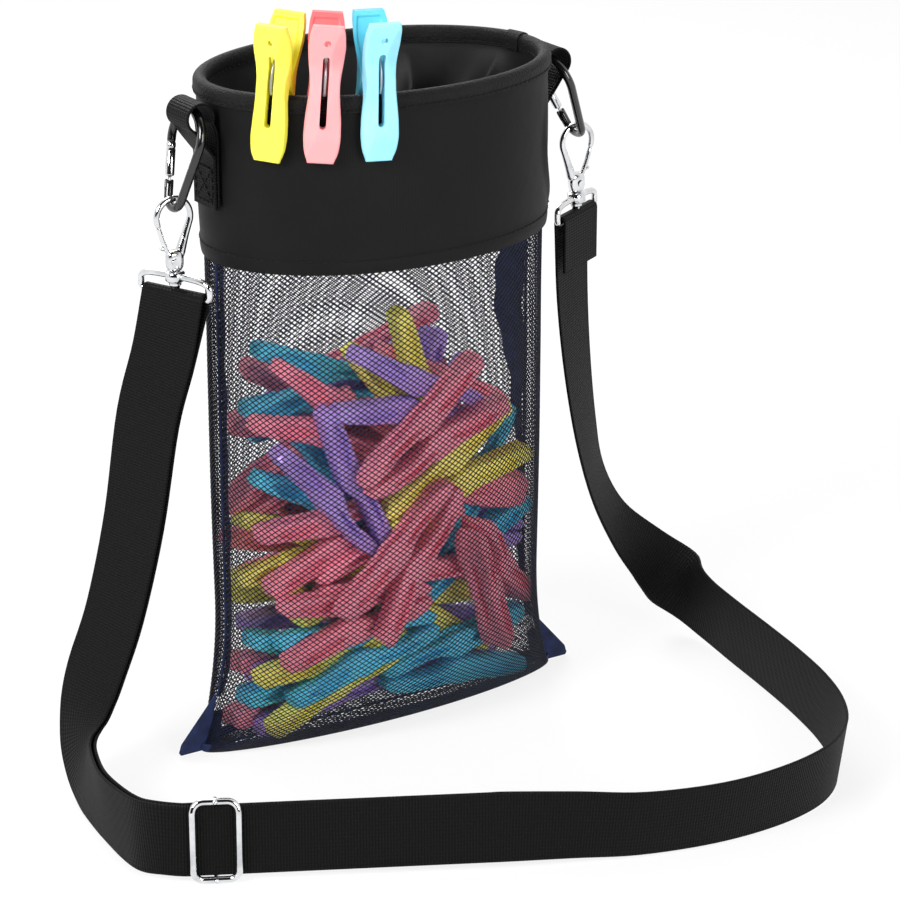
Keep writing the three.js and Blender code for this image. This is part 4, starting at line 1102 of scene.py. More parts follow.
    def side_seam(self, side: Side) -> None:
        """Sews one side: a rolled outer edge and a loose flap inside, broad at the right's top."""
        heights = np.linspace(self.seam_foot, self.form.collar_bottom, 110)
        width, _ = self.form.half_axes(heights)
        form = Form()
        out = side.value * (width - self.form.net_inset)
        edge = np.stack([out, np.zeros_like(heights), heights], axis=1)
        form.tube(edge, self.seam_roll + 0.0002 * np.sin(heights * 900), sides=8)
        spots, breadth = self.flaps[side.word]
        flap = np.interp(heights, spots, breadth) + 0.0004 * np.sin(heights * 170)
        middle = edge - np.array([side.value, 0, 0]) * (0.0012 + flap[:, None] / 2)
        sway = (0.0012 * np.sin(heights * 95) + 0.0006 * np.sin(heights * 240 + 1)) * flap / 0.008
        middle[:, 1] += sway
        lean = np.stack([np.full_like(heights, side.value), -sway * 60, np.zeros_like(heights)], axis=1)
        wide, face = squared(middle, unit(lean))
        outline = strap_section(1.0, self.flap_thickness)
        section = np.repeat(outline[None], len(heights), axis=0)
        section[..., 0] *= flap[:, None]
        form.sweep(middle, wide, face, section)
        settle(form.build(f"{side.word}_seam_flap", Finishes.SEAM), "bag", "net", f"{side.word}_side_seam")

    def loose_corner(self) -> None:
        """Hangs the loose corner of the lining's seam inside the back net."""
        share = np.linspace(0, 1, 14)
        heights = np.linspace(self.form.collar_bottom + 0.003, self.form.collar_bottom - 0.021, len(share))
        angle = np.radians(27 + 2 * share)
        line = self.form.oval(angle, heights, 0.0065 + 0.002 * np.sin(share * 4))
        across = np.stack([-np.sin(angle) * self.form.belly[0], np.cos(angle) * self.form.belly[1]], axis=1)
        wide, face = squared(line, unit(np.column_stack([across, 0.15 * np.sin(share * 5)])))
        section = np.repeat(strap_section(1.0, self.flap_thickness)[None], len(share), axis=0)
        section[..., 0] *= np.interp(share, [0, 0.45, 1], [0.017, 0.012, 0.0025])[:, None]
        form = Form()
        form.sweep(line, wide, face, section)
        settle(form.build("lining_seam_corner", Finishes.SEAM), "bag", "net")

    def hem(self, facing: int, name: str) -> None:
        """Lays the hem tape along one panel's bottom edge."""
        angle = np.linspace(0.02, math.pi - 0.02, 120)
        line = self.form.oval(angle, np.zeros_like(angle), self.form.net_inset - 0.0006)
        line[:, 1] = facing * np.maximum(np.abs(line[:, 1]), 0.0012)
        line[:, 2] = 0.0022
        wide, deep = self.form.base
        away = unit(np.stack([line[:, 0] / wide**2, line[:, 1] / deep**2, np.zeros_like(angle)], axis=1))
        up = everywhere(UP, line)
        form = Form()
        form.sweep(line, up, away, strap_section(0.0042, 0.0011))
        settle(form.build(name, Finishes.SEAM), "bag", "net")

    def build(self) -> None:
        """Makes the panels, seams and hems."""
        self.panel(-1, "net_front", "mesh_front_panel")
        self.panel(1, "net_back", "mesh_back_panel")
        for side in Side:
            self.side_seam(side)
        self.loose_corner()
        seam = frame["nodes"]["bottom_seam"].data
        settle(softened(seam, "bottom_seam_tape", Finishes.SEAM, 0.0003, 2), "bag", "net", "bottom_seam")
        self.hem(-1, "front_base_hem")
        self.hem(1, "back_base_hem")


@dataclass
class Mouth:
    """The nylon collar, its lining and the bound rim."""

    form: PouchForm = field(default_factory=PouchForm)
    steps: int = 360
    rows: int = 60
    mean_radius: float = 0.083
    collar_thickness: float = 0.0012
    collar_top: float = 0.3541
    lining_inset: float = 0.0031
    lining_thickness: float = 0.001
    lining_fold: float = 0.0165
    lining_ripple: float = 0.0026
    binding_leg: float = 0.0048
    tape_thickness: float = 0.0012
    stitch_drop: float = 0.0036
    hem_stitch_rise: float = 0.007

    def cloth(self, inset: float, thickness: float, fold: Callable[[Array, Array], Array]) -> Form:
        """Makes a tube of cloth between the collar's lower edge and the rim.

        Args:
            inset: How far inside the pouch's outside it lies.
            thickness: The cloth's thickness.
            fold: Returns how far the cloth stands out at each angle and height.

        Returns:
            The form.
        """
        angle = np.linspace(0, 2 * math.pi, self.steps, endpoint=False)[None]
        heights = np.linspace(self.form.collar_bottom, self.collar_top, self.rows)
        loop = np.concatenate([heights, heights[::-1]])[:, None]
        skin = np.concatenate([np.zeros(self.rows), np.full(self.rows, thickness)])[:, None]
        out = fold(*np.broadcast_arrays(angle, loop))
        points = self.form.oval(angle, loop, inset + skin - out)
        around = np.broadcast_to(angle * self.mean_radius, points.shape[:2])
        coords = np.stack([around, np.broadcast_to(loop, points.shape[:2])], axis=-1)
        form = Form()
        form.grid(points, close_rows=True, close_cols=True, coords=coords)
        return form

    def collar_folds(self, angle: Array, z: Array) -> Array:
        """Returns the collar's soft dents and its thick lower hem."""
        place = self.form.oval(angle, z)
        soft = np.clip((self.collar_top - 0.012 - z) / 0.03, 0, 1)
        dents = 0.0011 * waves(place, 3, 0.11) * soft
        hem = 0.0006 * np.exp(-(((z - self.form.collar_bottom - 0.004) / 0.004) ** 2))
        turned = np.mod(angle + math.pi, 2 * math.pi) - math.pi
        bend = math.radians(-37) + 5.5 * (z - 0.315) ** 2 * 40
        crease = 0.0016 * np.exp(-(((turned - bend) / 0.045) ** 2)) * soft
        return np.maximum(dents + hem + crease, -0.0003)

    def lining_folds(self, angle: Array, z: Array) -> Array:
        """Returns the lining's loose folds, all of them inward and fullest at the two ends."""
        place = self.form.oval(angle, z)
        loose = np.clip((self.collar_top - 0.005 - z) / 0.022, 0, 1)
        turned = np.mod(angle, 2 * math.pi)
        ends = np.exp(-(((turned - math.radians(148)) / 0.45) ** 2))
        ends = ends + np.exp(-(((turned - math.radians(40)) / 0.5) ** 2))
        back = 0.35 + 0.65 * np.clip(np.sin(angle) + 0.4, 0, 1)
        ripple = 0.5 + 0.5 * waves(place * np.array([1, 1, 0.45]), 8, 0.06)
        phase = angle * 5.5 + 26 * (z - 0.3) * np.sign(np.cos(angle)) + 0.5 * waves(place, 4, 0.09)
        slack = 1 - np.abs(np.sin(phase))
        inward = self.lining_ripple * ripple * back + self.lining_fold * ends * slack**1.3
        return -inward * loose

    def binding(self) -> None:
        """Wraps the rim in tape and laps its join."""
        angle = np.linspace(0, 2 * math.pi, self.steps, endpoint=False)
        line = self.form.oval(angle, np.full_like(angle, self.form.rim_height), self.form.rim_inset)
        out = outward(angle)
        up = everywhere(UP, line)
        radius, inner = self.form.rim_radius, self.form.rim_radius - self.tape_thickness
        turns = np.radians(np.linspace(0, 180, 15))
        leg = np.linspace(-self.binding_leg, -0.001, 7)
        outer_arc = np.stack([radius * np.cos(turns), radius * np.sin(turns)], axis=1)
        inner_arc = np.stack([inner * np.cos(turns[::-1]), inner * np.sin(turns[::-1])], axis=1)
        pinch = 0.0003 * np.exp(-(((leg + self.stitch_drop) / 0.0009) ** 2))
        right = np.stack([radius - pinch, leg], axis=1)
        left = np.stack([-radius + pinch, leg], axis=1)[::-1]
        inside_left = np.stack([np.full_like(leg, -inner), leg], axis=1)
        inside_right = np.stack([np.full_like(leg, inner), leg], axis=1)[::-1]
        section = np.vstack([right, outer_arc, left, inside_left, inner_arc, inside_right])
        form = Form()
        form.sweep(line, out, up, section, closed=True)
        settle(form.build("rim_tape", Finishes.BINDING, 60), "bag", "binding", "rim_binding")
        self.lap()

    def lap(self) -> None:
        """Adds the lapped join in the tape at the back of the rim."""
        angle = np.linspace(math.radians(4), math.radians(13), 12)
        line = self.form.oval(angle, np.full_like(angle, self.form.rim_height), self.form.rim_inset)
        radius = self.form.rim_radius
        turns = np.radians(np.linspace(-4, 184, 17))
        skins = []
        for lift in (0.0007, 0.0001):
            ring = np.stack([(radius + lift) * np.cos(turns), (radius + lift) * np.sin(turns)], axis=1)
            foot = -self.binding_leg - 0.0004
            ends = np.array([[radius + lift, foot], [-radius - lift, foot]])
            skin = np.vstack([ends[:1], ring, ends[1:]])
            skins.append(skin if lift > 0.0005 else skin[::-1])
        form = Form()
        form.sweep(line, outward(angle), everywhere(UP, line), np.vstack(skins))
        settle(form.build("rim_tape_lap", Finishes.BINDING), "bag", "binding")

    def stitches(self) -> None:
        """Sews the tape and the collar's hem."""
        angle = np.linspace(0, 2 * math.pi, 400)
        out = outward(angle)
        form = Form()
        sewn = np.full_like(angle, self.form.rim_height - self.stitch_drop)
        rim = self.form.oval(angle, sewn, self.form.rim_inset)
        form.stitch_line(rim + out * (self.form.rim_radius - 0.0002), out)
        form.stitch_line(rim - out * (self.form.rim_radius - 0.0002), -out)
        height = np.full_like(angle, self.form.collar_bottom + self.hem_stitch_rise)
        inset = -self.collar_folds(angle, height)
        form.stitch_line(self.form.oval(angle, height, inset), out)
        settle(form.build("mouth_stitching", Finishes.THREAD), "bag", "nylon")

    def build(self) -> None:
        """Makes the collar, lining, rim and stitching."""
        collar = self.cloth(0.0, self.collar_thickness, self.collar_folds)
        settle(collar.build("collar_cloth", Finishes.NYLON), "bag", "nylon", "collar_outer")
        lining = self.cloth(self.lining_inset, self.lining_thickness, self.lining_folds)
        settle(lining.build("lining_cloth", Finishes.LINING), "bag", "nylon", "collar_lining")
        self.binding()
        self.stitches()
        repaint("rim_hoop", Finishes.HOOP)


def repaint(node: str, finish: Finish) -> None:
    """Gives a CAD node that stays its finish."""
    for slot in frame["nodes"][node].material_slots:
        slot.material = finish.material()
    log.info("%s keeps its form, in %s", node, finish.name)


def arc(x: float, z: float, radius: float, start: float, end: float, steps: int) -> Array:
    """Returns points of an arc in the XZ plane, angles in degrees."""
    turns = np.radians(np.linspace(start, end, steps + 1))
    return np.stack([x + radius * np.cos(turns), np.zeros_like(turns), z + radius * np.sin(turns)], axis=1)


@dataclass(frozen=True)
class Placement:
    """Where a piece's own frame stands."""

    origin: Point
    turn: Matrix

    def points(self, local: Array) -> Array:
        """Returns points moved out of the piece's own frame."""
        return self.ways(local) + np.array(self.origin)

    def ways(self, local: Array) -> Array:
        """Returns directions turned out of the piece's own frame."""
        return np.asarray(local) @ np.array(self.turn.to_3x3()).T


def rotation(axis: str, degrees: float) -> Matrix:
    """Returns a turn about one axis."""
    return Matrix.Rotation(math.radians(degrees), 3, axis)


@dataclass
class WebbingLoop:
    """A strip of webbing folded into a ring and sewn to the collar."""

    side: Side
    width: float = 0.022
    thickness: float = 0.0014
    reach: float = 0.010
    ring_height: float = 0.346
    ring_radius: float = 0.0073
    tail_bottom: float = 0.298

    def build(self) -> None:
        """Folds the strip and sews its tail."""
        form = PouchForm()
        wall = float(form.half_axes(np.array(self.ring_height))[0])
        skin = self.thickness
        inner_x, outer_x = 0.0003 + skin / 2, 0.0006 + 1.5 * skin
        ring = arc(self.reach, self.ring_height, self.ring_radius, 205, -62, 26)
        heights = np.linspace(self.tail_bottom, self.ring_height - 0.012, 12)
        inner = np.array([[inner_x, 0, z] for z in heights])
        neck = ring[-1]
        heights = np.linspace(self.ring_height - 0.021, self.tail_bottom, 10)
        outer = np.array([[outer_x, 0, z] for z in heights])
        bend = smooth_path(np.array([neck, [neck[0] * 0.72, 0, neck[2] - 0.0055], outer[0]]), 4)[1:-1]
        turn_in = [inner_x + 0.0006, 0, self.ring_height - 0.007]
        lead = smooth_path(np.array([inner[-1], turn_in, ring[0]]), 3)[1:-1]
        local = np.vstack([inner, lead, ring, bend, outer])
        turned = rotation("Z", 0 if self.side is Side.RIGHT else 180)
        place_at = Placement((self.side.value * wall, 0, 0), turned)
        line = place_at.points(local)
        across = everywhere((0, 1, 0), line)
        wide, face = squared(line, across)
        strip = Form()
        strip.sweep(line, wide, face, strap_section(self.width, skin))
        name = f"{self.side.word}_loop_strip"
        settle(strip.build(name, Finishes.WEBBING), "bag", "webbing", f"{self.side.word}_webbing_loop")
        self.sew(wall + outer_x + skin * 0.5)

    def sew(self, reach: float) -> None:
        """Sews a crossed box of stitches through the tail, so far out from the bag's middle."""
        thread = Form()
        out = np.array([self.side.value, 0.0, 0.0])
        x = self.side.value * reach
        low, high, half = self.tail_bottom + 0.003, self.tail_bottom + 0.021, self.width / 2 - 0.0025
        first, second = [x, -half, low], [x, half, low]
        third, fourth = [x, half, high], [x, -half, high]
        corners = np.array([first, second, third, fourth, first, third, fourth, second])
        for start, end in zip(corners[:-1], corners[1:]):
            seam = np.linspace(start, end, 12)
            thread.stitch_line(seam, everywhere(out, seam))
        settle(thread.build(f"{self.side.word}_loop_stitching", Finishes.THREAD), "bag", "webbing")


@dataclass
class Carabiner:
    """A black wire carabiner with a bright sprung gate."""

    side: Side
    lean: float
    length: float = 0.050
    wire: float = 0.00225
    top_radius: float = 0.0145
    bottom_radius: float = 0.007
    crown_rise: float = 0.00345
    hinge_share: float = 0.2
    gate_radius: float = 0.0024

    def frame_at(self) -> Placement:
        """Returns where the carabiner hangs."""
        pivot = Vector(JOINTS[f"{self.side.word}_carabiner_swing"]["pos_m"])
        lean = rotation("Y", -self.side.value * self.lean)
        origin = pivot + lean @ Vector((0, 0, self.crown_rise))
        return Placement(tuple(origin), lean @ rotation("Z", 90))

    def build(self) -> None:
        """Bends the wire and hangs the gate on its pin."""
        word = self.side.word
        at = self.frame_at()
        span = self.length - self.top_radius - self.bottom_radius
        taper = math.asin((self.top_radius - self.bottom_radius) / span)
        slope = math.degrees(taper)
        top_z, low_z = -self.top_radius, -self.length + self.bottom_radius
        normal = np.array([math.cos(taper), 0, -math.sin(taper)])
        leg_low = np.array([0, 0, low_z]) + normal * self.bottom_radius
        leg_high = np.array([0, 0, top_z]) + normal * self.top_radius
        along = unit(leg_high - leg_low)
        leg = float(np.linalg.norm(leg_high - leg_low))
        hinge = leg_low + along * leg * self.hinge_share
        wire = np.vstack(
            [
                arc(0, top_z, self.top_radius, -slope, 180 + slope, 40),
                arc(0, low_z, self.bottom_radius, 180 + slope, 360 - slope, 26),
                [hinge - along * 0.0003],
            ]
        )
        body = Form()
        body.tube(at.points(wire), self.wire, sides=20)
        ear = np.array([hinge + along * t for t in np.linspace(-0.003, 0.0014, 4)])
        for cheek in (-1, 1):
            body.tube(at.points(ear + np.array([0, cheek * 0.00165, 0])), 0.00085, sides=10)
        clip = f"{word}_carabiner"
        settle(body.build(f"{clip}_wire", Finishes.ENAMEL), clip, "black_metal", f"{clip}_body")
        gate = Form()
        reach = leg * (1 - self.hinge_share)
        near = np.array([0.0, 0.0016, 0.0032, 0.004, 0.0046])
        far = reach - np.array([reach * 0.5, 0.0048, 0.0042, 0.0036, 0.0018, 0.0009])
        spots = np.concatenate([near, far])
        full = self.gate_radius
        radii = np.array([0.0007, 0.0007, 0.0008, 0.0022, full, full, full, 0.0021, full, full, 0.002])
        gate.tube(at.points(hinge + along * spots[:, None]), radii, sides=20)
        settle(gate.build(f"{word}_gate_sleeve", Finishes.CHROME), f"{clip}_gate", "chrome", f"{clip}_gate")
        repaint(f"{word}_carabiner_pin", Finishes.CHROME)


@dataclass
class SnapHook:
    """A swivel snap hook and the strap base that turns under it.

    A station of the trunk is a height from the top of the eye, half a width and half a depth.
    """

    side: Side
    eye_radius: float = 0.0095
    nose: float = -21
    trunk: tuple[Point, ...] = (
        (-0.0268, 0.0026, 0.0018),
        (-0.0275, 0.0038, 0.0026),
        (-0.0288, 0.0044, 0.0030),
        (-0.0310, 0.0046, 0.0030),
        (-0.0335, 0.0046, 0.0030),
        (-0.0355, 0.0042, 0.0029),
        (-0.0368, 0.0034, 0.0026),
        (-0.0375, 0.0024, 0.0021),
    )
    trunk_squareness: float = 0.6
    rivet_x: float = 0.0012
    rivet_drop: float = 0.0325
    base_drop: float = 0.050
    base_wire: float = 0.0017
    base_half: float = 0.0218

    def eye_top(self) -> Vector:
        """Returns the top of the hook's eye."""
        return Vector(JOINTS[f"{self.side.word}_strap_base_tilt"]["pos_m"]) + Vector((0, 0, self.base_drop))

    def build_hook(self) -> None:
        """Bends the eye, casts the trunk and rivets the gate in it."""
        word = self.side.word
        at = Placement(tuple(self.eye_top()), rotation("Z", 0 if self.side is Side.RIGHT else 180))
        casting = self.casting(at).build(f"{word}_hook_casting", Finishes.CHROME, 50)
        settle(casting, f"{word}_hook", "chrome", f"{word}_hook_body")
        trigger = self.trigger(at).build(f"{word}_trigger", Finishes.CHROME)
        settle(trigger, f"{word}_hook_gate", "chrome", f"{word}_hook_gate")
        repaint(f"{word}_hook_rivet", Finishes.CHROME)

    def casting(self, at: Placement) -> Form:
        """Returns the eye, the trunk and the headed shank that swivels in the strap base."""
        loop = arc(0, -self.eye_radius, self.eye_radius, self.nose, 195, 34)
        foot = np.array([[-0.0068, 0, -0.0182], [-0.0049, 0, -0.0235], [-0.0031, 0, -0.0287]])
        wire = np.vstack([loop[:-1], smooth_path(np.vstack([loop[-1:], foot]), 4)])
        marks = [0, 3, 30, len(wire) - 8, len(wire) - 1]
        thick = np.interp(np.arange(len(wire)), marks, [0.0015, 0.0016, 0.0016, 0.002, 0.0027])
        body = Form()
        body.tube(at.points(wire), thick, sides=18)
        heights, widths, depths = np.array(self.trunk).T
        turns = np.linspace(0, 2 * math.pi, 28, endpoint=False)
        circle = np.stack([np.cos(turns), np.sin(turns)], axis=1)
        lobes = np.sign(circle) * np.abs(circle) ** self.trunk_squareness
        line = np.stack([np.zeros_like(heights), np.zeros_like(heights), heights], axis=1)
        section = np.stack([widths[:, None] * lobes[:, 0], depths[:, None] * lobes[:, 1]], axis=-1)
        across = everywhere((1, 0, 0), line)
        inward = everywhere((0, 1, 0), line)
        body.sweep(at.points(line), at.ways(across), at.ways(inward), section)
        shank = np.array([[0, 0, z] for z in (-0.037, -0.0395, -0.0428)])
        body.tube(at.points(shank), 0.002, sides=16)
        head = np.array([[0, 0, z] for z in (-0.0434, -0.0438, -0.0448, -0.0452)])
        body.tube(at.points(head), np.array([0.0027, 0.0032, 0.0032, 0.0027]), sides=18)
        return body

    def trigger(self, at: Placement) -> Form:
        """Returns the bowed gate with its thumb knob, closed on the nose of the eye."""
        tip = arc(0, -self.eye_radius, self.eye_radius, self.nose, self.nose, 1)[0]
        rivet = np.array([self.rivet_x, 0, -self.rivet_drop])
        way = unit(tip - rivet)
        reach = float(np.linalg.norm(tip - rivet))
        spots = np.array([-0.0005, 0.002, 0.005, reach * 0.55, reach - 0.004, reach - 0.0018])
        gate = Form()
        bow = 0.0009 * np.sin(np.clip(spots / reach, 0, 1) * math.pi)
        bowed = rivet + way * spots[:, None] + np.array([1.0, 0, 0]) * bow[:, None]
        gate.tube(at.points(bowed), np.array([0.0011, 0.00125, 0.0013, 0.0013, 0.0013, 0.0012]), sides=14)
        knob = rivet + way * 0.0075 + np.array([[0.0008, 0, 0], [0.0022, 0, 0.0003], [0.0032, 0, 0.0006]])
        gate.tube(at.points(knob), np.array([0.001, 0.0012, 0.0011]), sides=12)
        return gate

    def build_base(self) -> None:
        """Bends the D of wire and threads it through its boss."""
        word = self.side.word
        joint = JOINTS[f"{word}_strap_base_tilt"]
        heading = math.degrees(math.atan2(joint["axis"][1], joint["axis"][0]))
        at = Placement(tuple(self.eye_top()), rotation("Z", heading))
        boss_top, boss_bottom = -0.0378, -0.0430
        shoulder, crown = boss_bottom - self.base_wire, (boss_top + boss_bottom) / 2
        corner = arc(self.base_half - 0.0025, -self.base_drop + 0.0025, 0.0025, -90, 0, 8)
        control = np.array(
            [
                [self.base_half, 0, shoulder],
                [self.base_half, 0, crown],
                [self.base_half * 0.62, 0, crown],
                [0.0025, 0, crown],
            ]
        )
        t = np.linspace(0, 1, 18)[:, None]
        shares = ((1 - t) ** 3, 3 * (1 - t) ** 2 * t, 3 * (1 - t) * t**2, t**3)
        rise = sum(share * point for share, point in zip(shares, control))
        right = np.vstack([corner, rise])
        left = right[::-1] * np.array([-1, 1, 1])
        form = Form()
        form.tube(at.points(np.vstack([right, left])), self.base_wire, sides=16, closed=True)
        turns = np.linspace(0, 2 * math.pi, 28, endpoint=False)
        lower = [(0.0024, boss_bottom), (0.0043, boss_bottom), (0.005, boss_bottom + 0.0007)]
        upper = [(0.005, boss_top - 0.0007), (0.0043, boss_top), (0.0024, boss_top)]
        circle = np.stack([np.cos(turns), np.sin(turns), np.zeros_like(turns)], axis=1)
        rings = [circle * r + UP * z for r, z in lower + upper]
        form.grid(np.stack([at.points(ring) for ring in rings]), close_rows=True, close_cols=True)
        base = f"{word}_strap_base"
        settle(form.build(f"{word}_base_loop", Finishes.CHROME, 50), base, "chrome", base)

    def build(self) -> None:
        """Makes the hook and its base."""
        self.build_hook()
        self.build_base()


@dataclass
class Slider:
    """The wire slide that sets the strap's length."""

    wire: float = 0.0017
    half_length: float = 0.0113
    half_height: float = 0.0211
    corner: float = 0.0055
    front: float = -0.0028
    back: float = 0.0028
    end_bow: float = 0.0016
    post_radius: float = 0.0014

    def build(self) -> None:
        """Bends the frame and the bar behind the strap."""
        axis = unit(np.array(JOINTS["slider_slide"]["axis"]))
        low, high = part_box("slider_bar")
        middle = (np.array(low) + np.array(high)) / 2
        heading = math.degrees(math.atan2(axis[1], axis[0]))
        turn = rotation("Z", heading)
        centre = middle - np.array(turn @ Vector((0, self.back, 0)))
        at = Placement(tuple(centre), turn)
        x, z, r = self.half_length, self.half_height, self.corner
        loop = np.vstack(
            [
                arc(x - r, z - r, r, 0, 90, 8),
                arc(r - x, z - r, r, 90, 180, 8),
                arc(r - x, r - z, r, 180, 270, 8),
                arc(x - r, r - z, r, 270, 360, 8),
            ]
        )
        bow = np.clip((np.abs(loop[:, 2]) - (z - r)) / r, 0, 1)
        loop[:, 1] = self.front + bow * self.end_bow
        form = Form()
        form.tube(at.points(loop), self.wire, sides=18, closed=True)
        settle(form.build("slider_wire", Finishes.CHROME), "slider", "chrome", "slider_frame")
        bar = Form()
        half = [(self.front + 0.0005, z + 0.0002), (0.0008, z), (self.back, z - 0.003)]
        top = [[0, y, up] for y, up in half]
        bottom = [[0, y, -up] for y, up in half[::-1]]
        post = np.array([*top, [0, self.back, 0], *bottom])
        bar.tube(at.points(smooth_path(post, 5)), self.post_radius, sides=14)
        settle(bar.build("slider_post", Finishes.CHROME), "slider", "chrome", "slider_bar")


class PegColour(Enum):
    """The three colours of the pegs clipped on the rim: the front lever's, and a darker copy on the back
    lever as painted shade.
    """

    YELLOW = (Finishes.YELLOW, Finishes.DEEP_YELLOW)
    PINK = (Finishes.PINK, Finishes.CORAL)
    BLUE = (Finishes.BLUE, Finishes.SKY)


@dataclass(frozen=True)
class LeverMould:
    """One lever of a clipped peg, heights counted from the top of the rim.

    The outline pairs heights with half widths, the faces pair heights with distances out from the
    rim's middle, and an opening is the foot and the head of a hole with round ends.
    """

    outline: tuple[Pair, ...] = (
        (-0.0325, 0.0063),
        (-0.0290, 0.0077),
        (-0.0265, 0.0085),
        (-0.0195, 0.0092),
        (-0.0105, 0.0089),
        (0.0040, 0.0074),
        (0.0100, 0.0074),
        (0.0185, 0.0086),
        (0.0265, 0.0092),
        (0.0345, 0.0085),
        (0.0385, 0.0073),
    )
    inner: tuple[Pair, ...] = (
        (-0.0325, 0.0048),
        (-0.0010, 0.0048),
        (0.0070, 0.0002),
        (0.0090, 0.0002),
        (0.0170, 0.0042),
        (0.0385, 0.0135),
    )
    outer: tuple[Pair, ...] = (
        (-0.0325, 0.0076),
        (-0.0205, 0.0104),
        (0.0040, 0.0104),
        (0.0170, 0.0100),
        (0.0385, 0.0190),
    )
    openings: tuple[Pair, ...] = ((-0.0145, 0.0222), (0.0278, 0.0312))
    opening_half: float = 0.0017
    rounding: float = 0.0012
    hollow_reach: float = 0.0062
    hollow_depth: float = 0.0036
    handle_hollow: Pair = (0.0085, 0.0368)
    belly_hollow: Pair = (-0.0290, 0.0045)
    tray: Pair = (0.0165, 0.0362)
    tray_rims: Pair = (0.0014, 0.0026)
    tray_slopes: Pair = (0.0006, 0.0005)
    tray_depth: float = 0.0009
    least_wall: float = 0.0008

    @staticmethod
    def eased(line: Sequence[Pair], heights: Array) -> Array:
        """Reads a line of pairs at the heights, its corners rounded."""
        known = np.array(line)
        shifts = np.linspace(-0.002, 0.002, 9)
        return np.mean([np.interp(heights + shift, known[:, 0], known[:, 1]) for shift in shifts], axis=0)

    def heights(self) -> Array:
        """Returns the heights of the rows, closer together at the ends and round the openings."""
        low, high = self.outline[0][0], self.outline[-1][0]
        curve = 1 - np.cos(np.linspace(0, math.pi / 2, 6))
        rows = [np.linspace(low, high, 66), low + self.rounding * curve, high - self.rounding * curve]
        for foot, head in self.openings:
            rows += [foot + self.opening_half * curve, head - self.opening_half * curve]
        return np.unique(np.round(np.concatenate(rows), 6))

    def open_half(self, heights: Array) -> tuple[Array, Array]:
        """Returns half the width of the opening at each height, and whether there is one."""
        half = np.full(len(heights), self.opening_half)
        inside = np.zeros(len(heights), bool)
        for foot, head in self.openings:
            here = (heights > foot - 1e-6) & (heights < head + 1e-6)
            into = np.minimum(np.minimum(heights - foot, head - heights), self.opening_half).clip(0)
            half = np.where(here, np.sqrt(into * (2 * self.opening_half - into)), half)
            inside |= here
        return half, inside

    def dip(self, x: Array, z: Array, wide: Array) -> Array:
        """Returns how far the outer face lies below its line, at its edges and in its hollows."""
        low, high = self.outline[0][0], self.outline[-1][0]
        r = self.rounding
        side = ((np.abs(x) - wide + r) / r).clip(0, 1)
        end = ((np.maximum(z - high, low - z) + r) / r).clip(0, 1)
        depth = r * (1 - np.sqrt((1 - side**2 - end**2).clip(0)))
        for edge, (foot, head) in ((1, self.handle_hollow), (-1, self.belly_hollow)):
            swell = np.sin(math.pi * ((z - foot) / (head - foot)).clip(0, 1))
            begin = wide - self.hollow_reach * swell**0.6
            slope = ((x * edge - begin) / np.maximum(wide - begin, 1e-6)).clip(0, 1)
            depth += self.hollow_depth * swell * slope
        return depth

    def shape(self, form: Form, spot: Array, right: Array, out: Array, up: Array) -> None:
        """Adds the lever to a form.

        Args:
            form: The lever being moulded.
            spot: The top of the rim under the lever.
            right: The way to its right, seen from outside.
            out: The way out from the rim.
            up: The way along it to the handle.
        """
        z = self.heights()
        wide = self.eased(self.outline, z)[:, None]
        half, inside = self.open_half(z)
        shares = np.concatenate([np.linspace(0, 0.8, 9), [0.85, 0.9, 0.94, 0.97, 0.99, 1]])
        arm = half[:, None] + (wide - half[:, None]) * shares
        x = np.concatenate([-arm[:, ::-1], arm], axis=1)
        z = np.repeat(z[:, None], x.shape[1], axis=1)
        front = self.eased(self.outer, z[:, 0])[:, None] - self.dip(x, z, wide)
        end_slope, side_slope = self.tray_slopes
        rise = np.minimum(z - self.tray[0], self.tray[1] - z) / end_slope
        edge = np.minimum(wide - self.tray_rims[0] - x, wide - self.tray_rims[1] + x) / side_slope
        sunk = self.tray_depth * np.minimum(rise, edge).clip(0, 1)
        back = np.minimum(self.eased(self.inner, z[:, 0])[:, None] + sunk, front - self.least_wall)
        rows, cols = x.shape
        number = np.arange(rows * cols).reshape(rows, cols)
        kept = np.ones((rows - 1, cols - 1), bool)
        kept[:, cols // 2 - 1] = ~(inside[:-1] & inside[1:] & self.joined(z[:-1, 0], z[1:, 0]))
        around = [number[:-1, :-1], number[:-1, 1:], number[1:, 1:], number[1:, :-1]]
        quads = np.stack(around, axis=-1)[kept]
        ways = {(int(a), int(b)) for quad in quads for a, b in zip(quad, np.roll(quad, -1))}
        rims = [(a, b) for a, b in ways if (b, a) not in ways]
        walls = [(b, a, a + rows * cols, b + rows * cols) for a, b in sorted(rims)]
        faces = [*quads.tolist(), *(quads[:, ::-1] + rows * cols).tolist(), *walls]
        for depth in (front, back):
            local = np.stack([x, depth, z], axis=-1).reshape(-1, 3)
            form.add(spot + local @ np.array([right, out, up]), [])
        form.faces.extend(faces)

    def joined(self, low: Array, high: Array) -> Array:
        """Returns whether both heights lie in the same opening."""
        middle = (low + high) / 2
        return np.any([(middle > foot) & (middle < head) for foot, head in self.openings], axis=0)


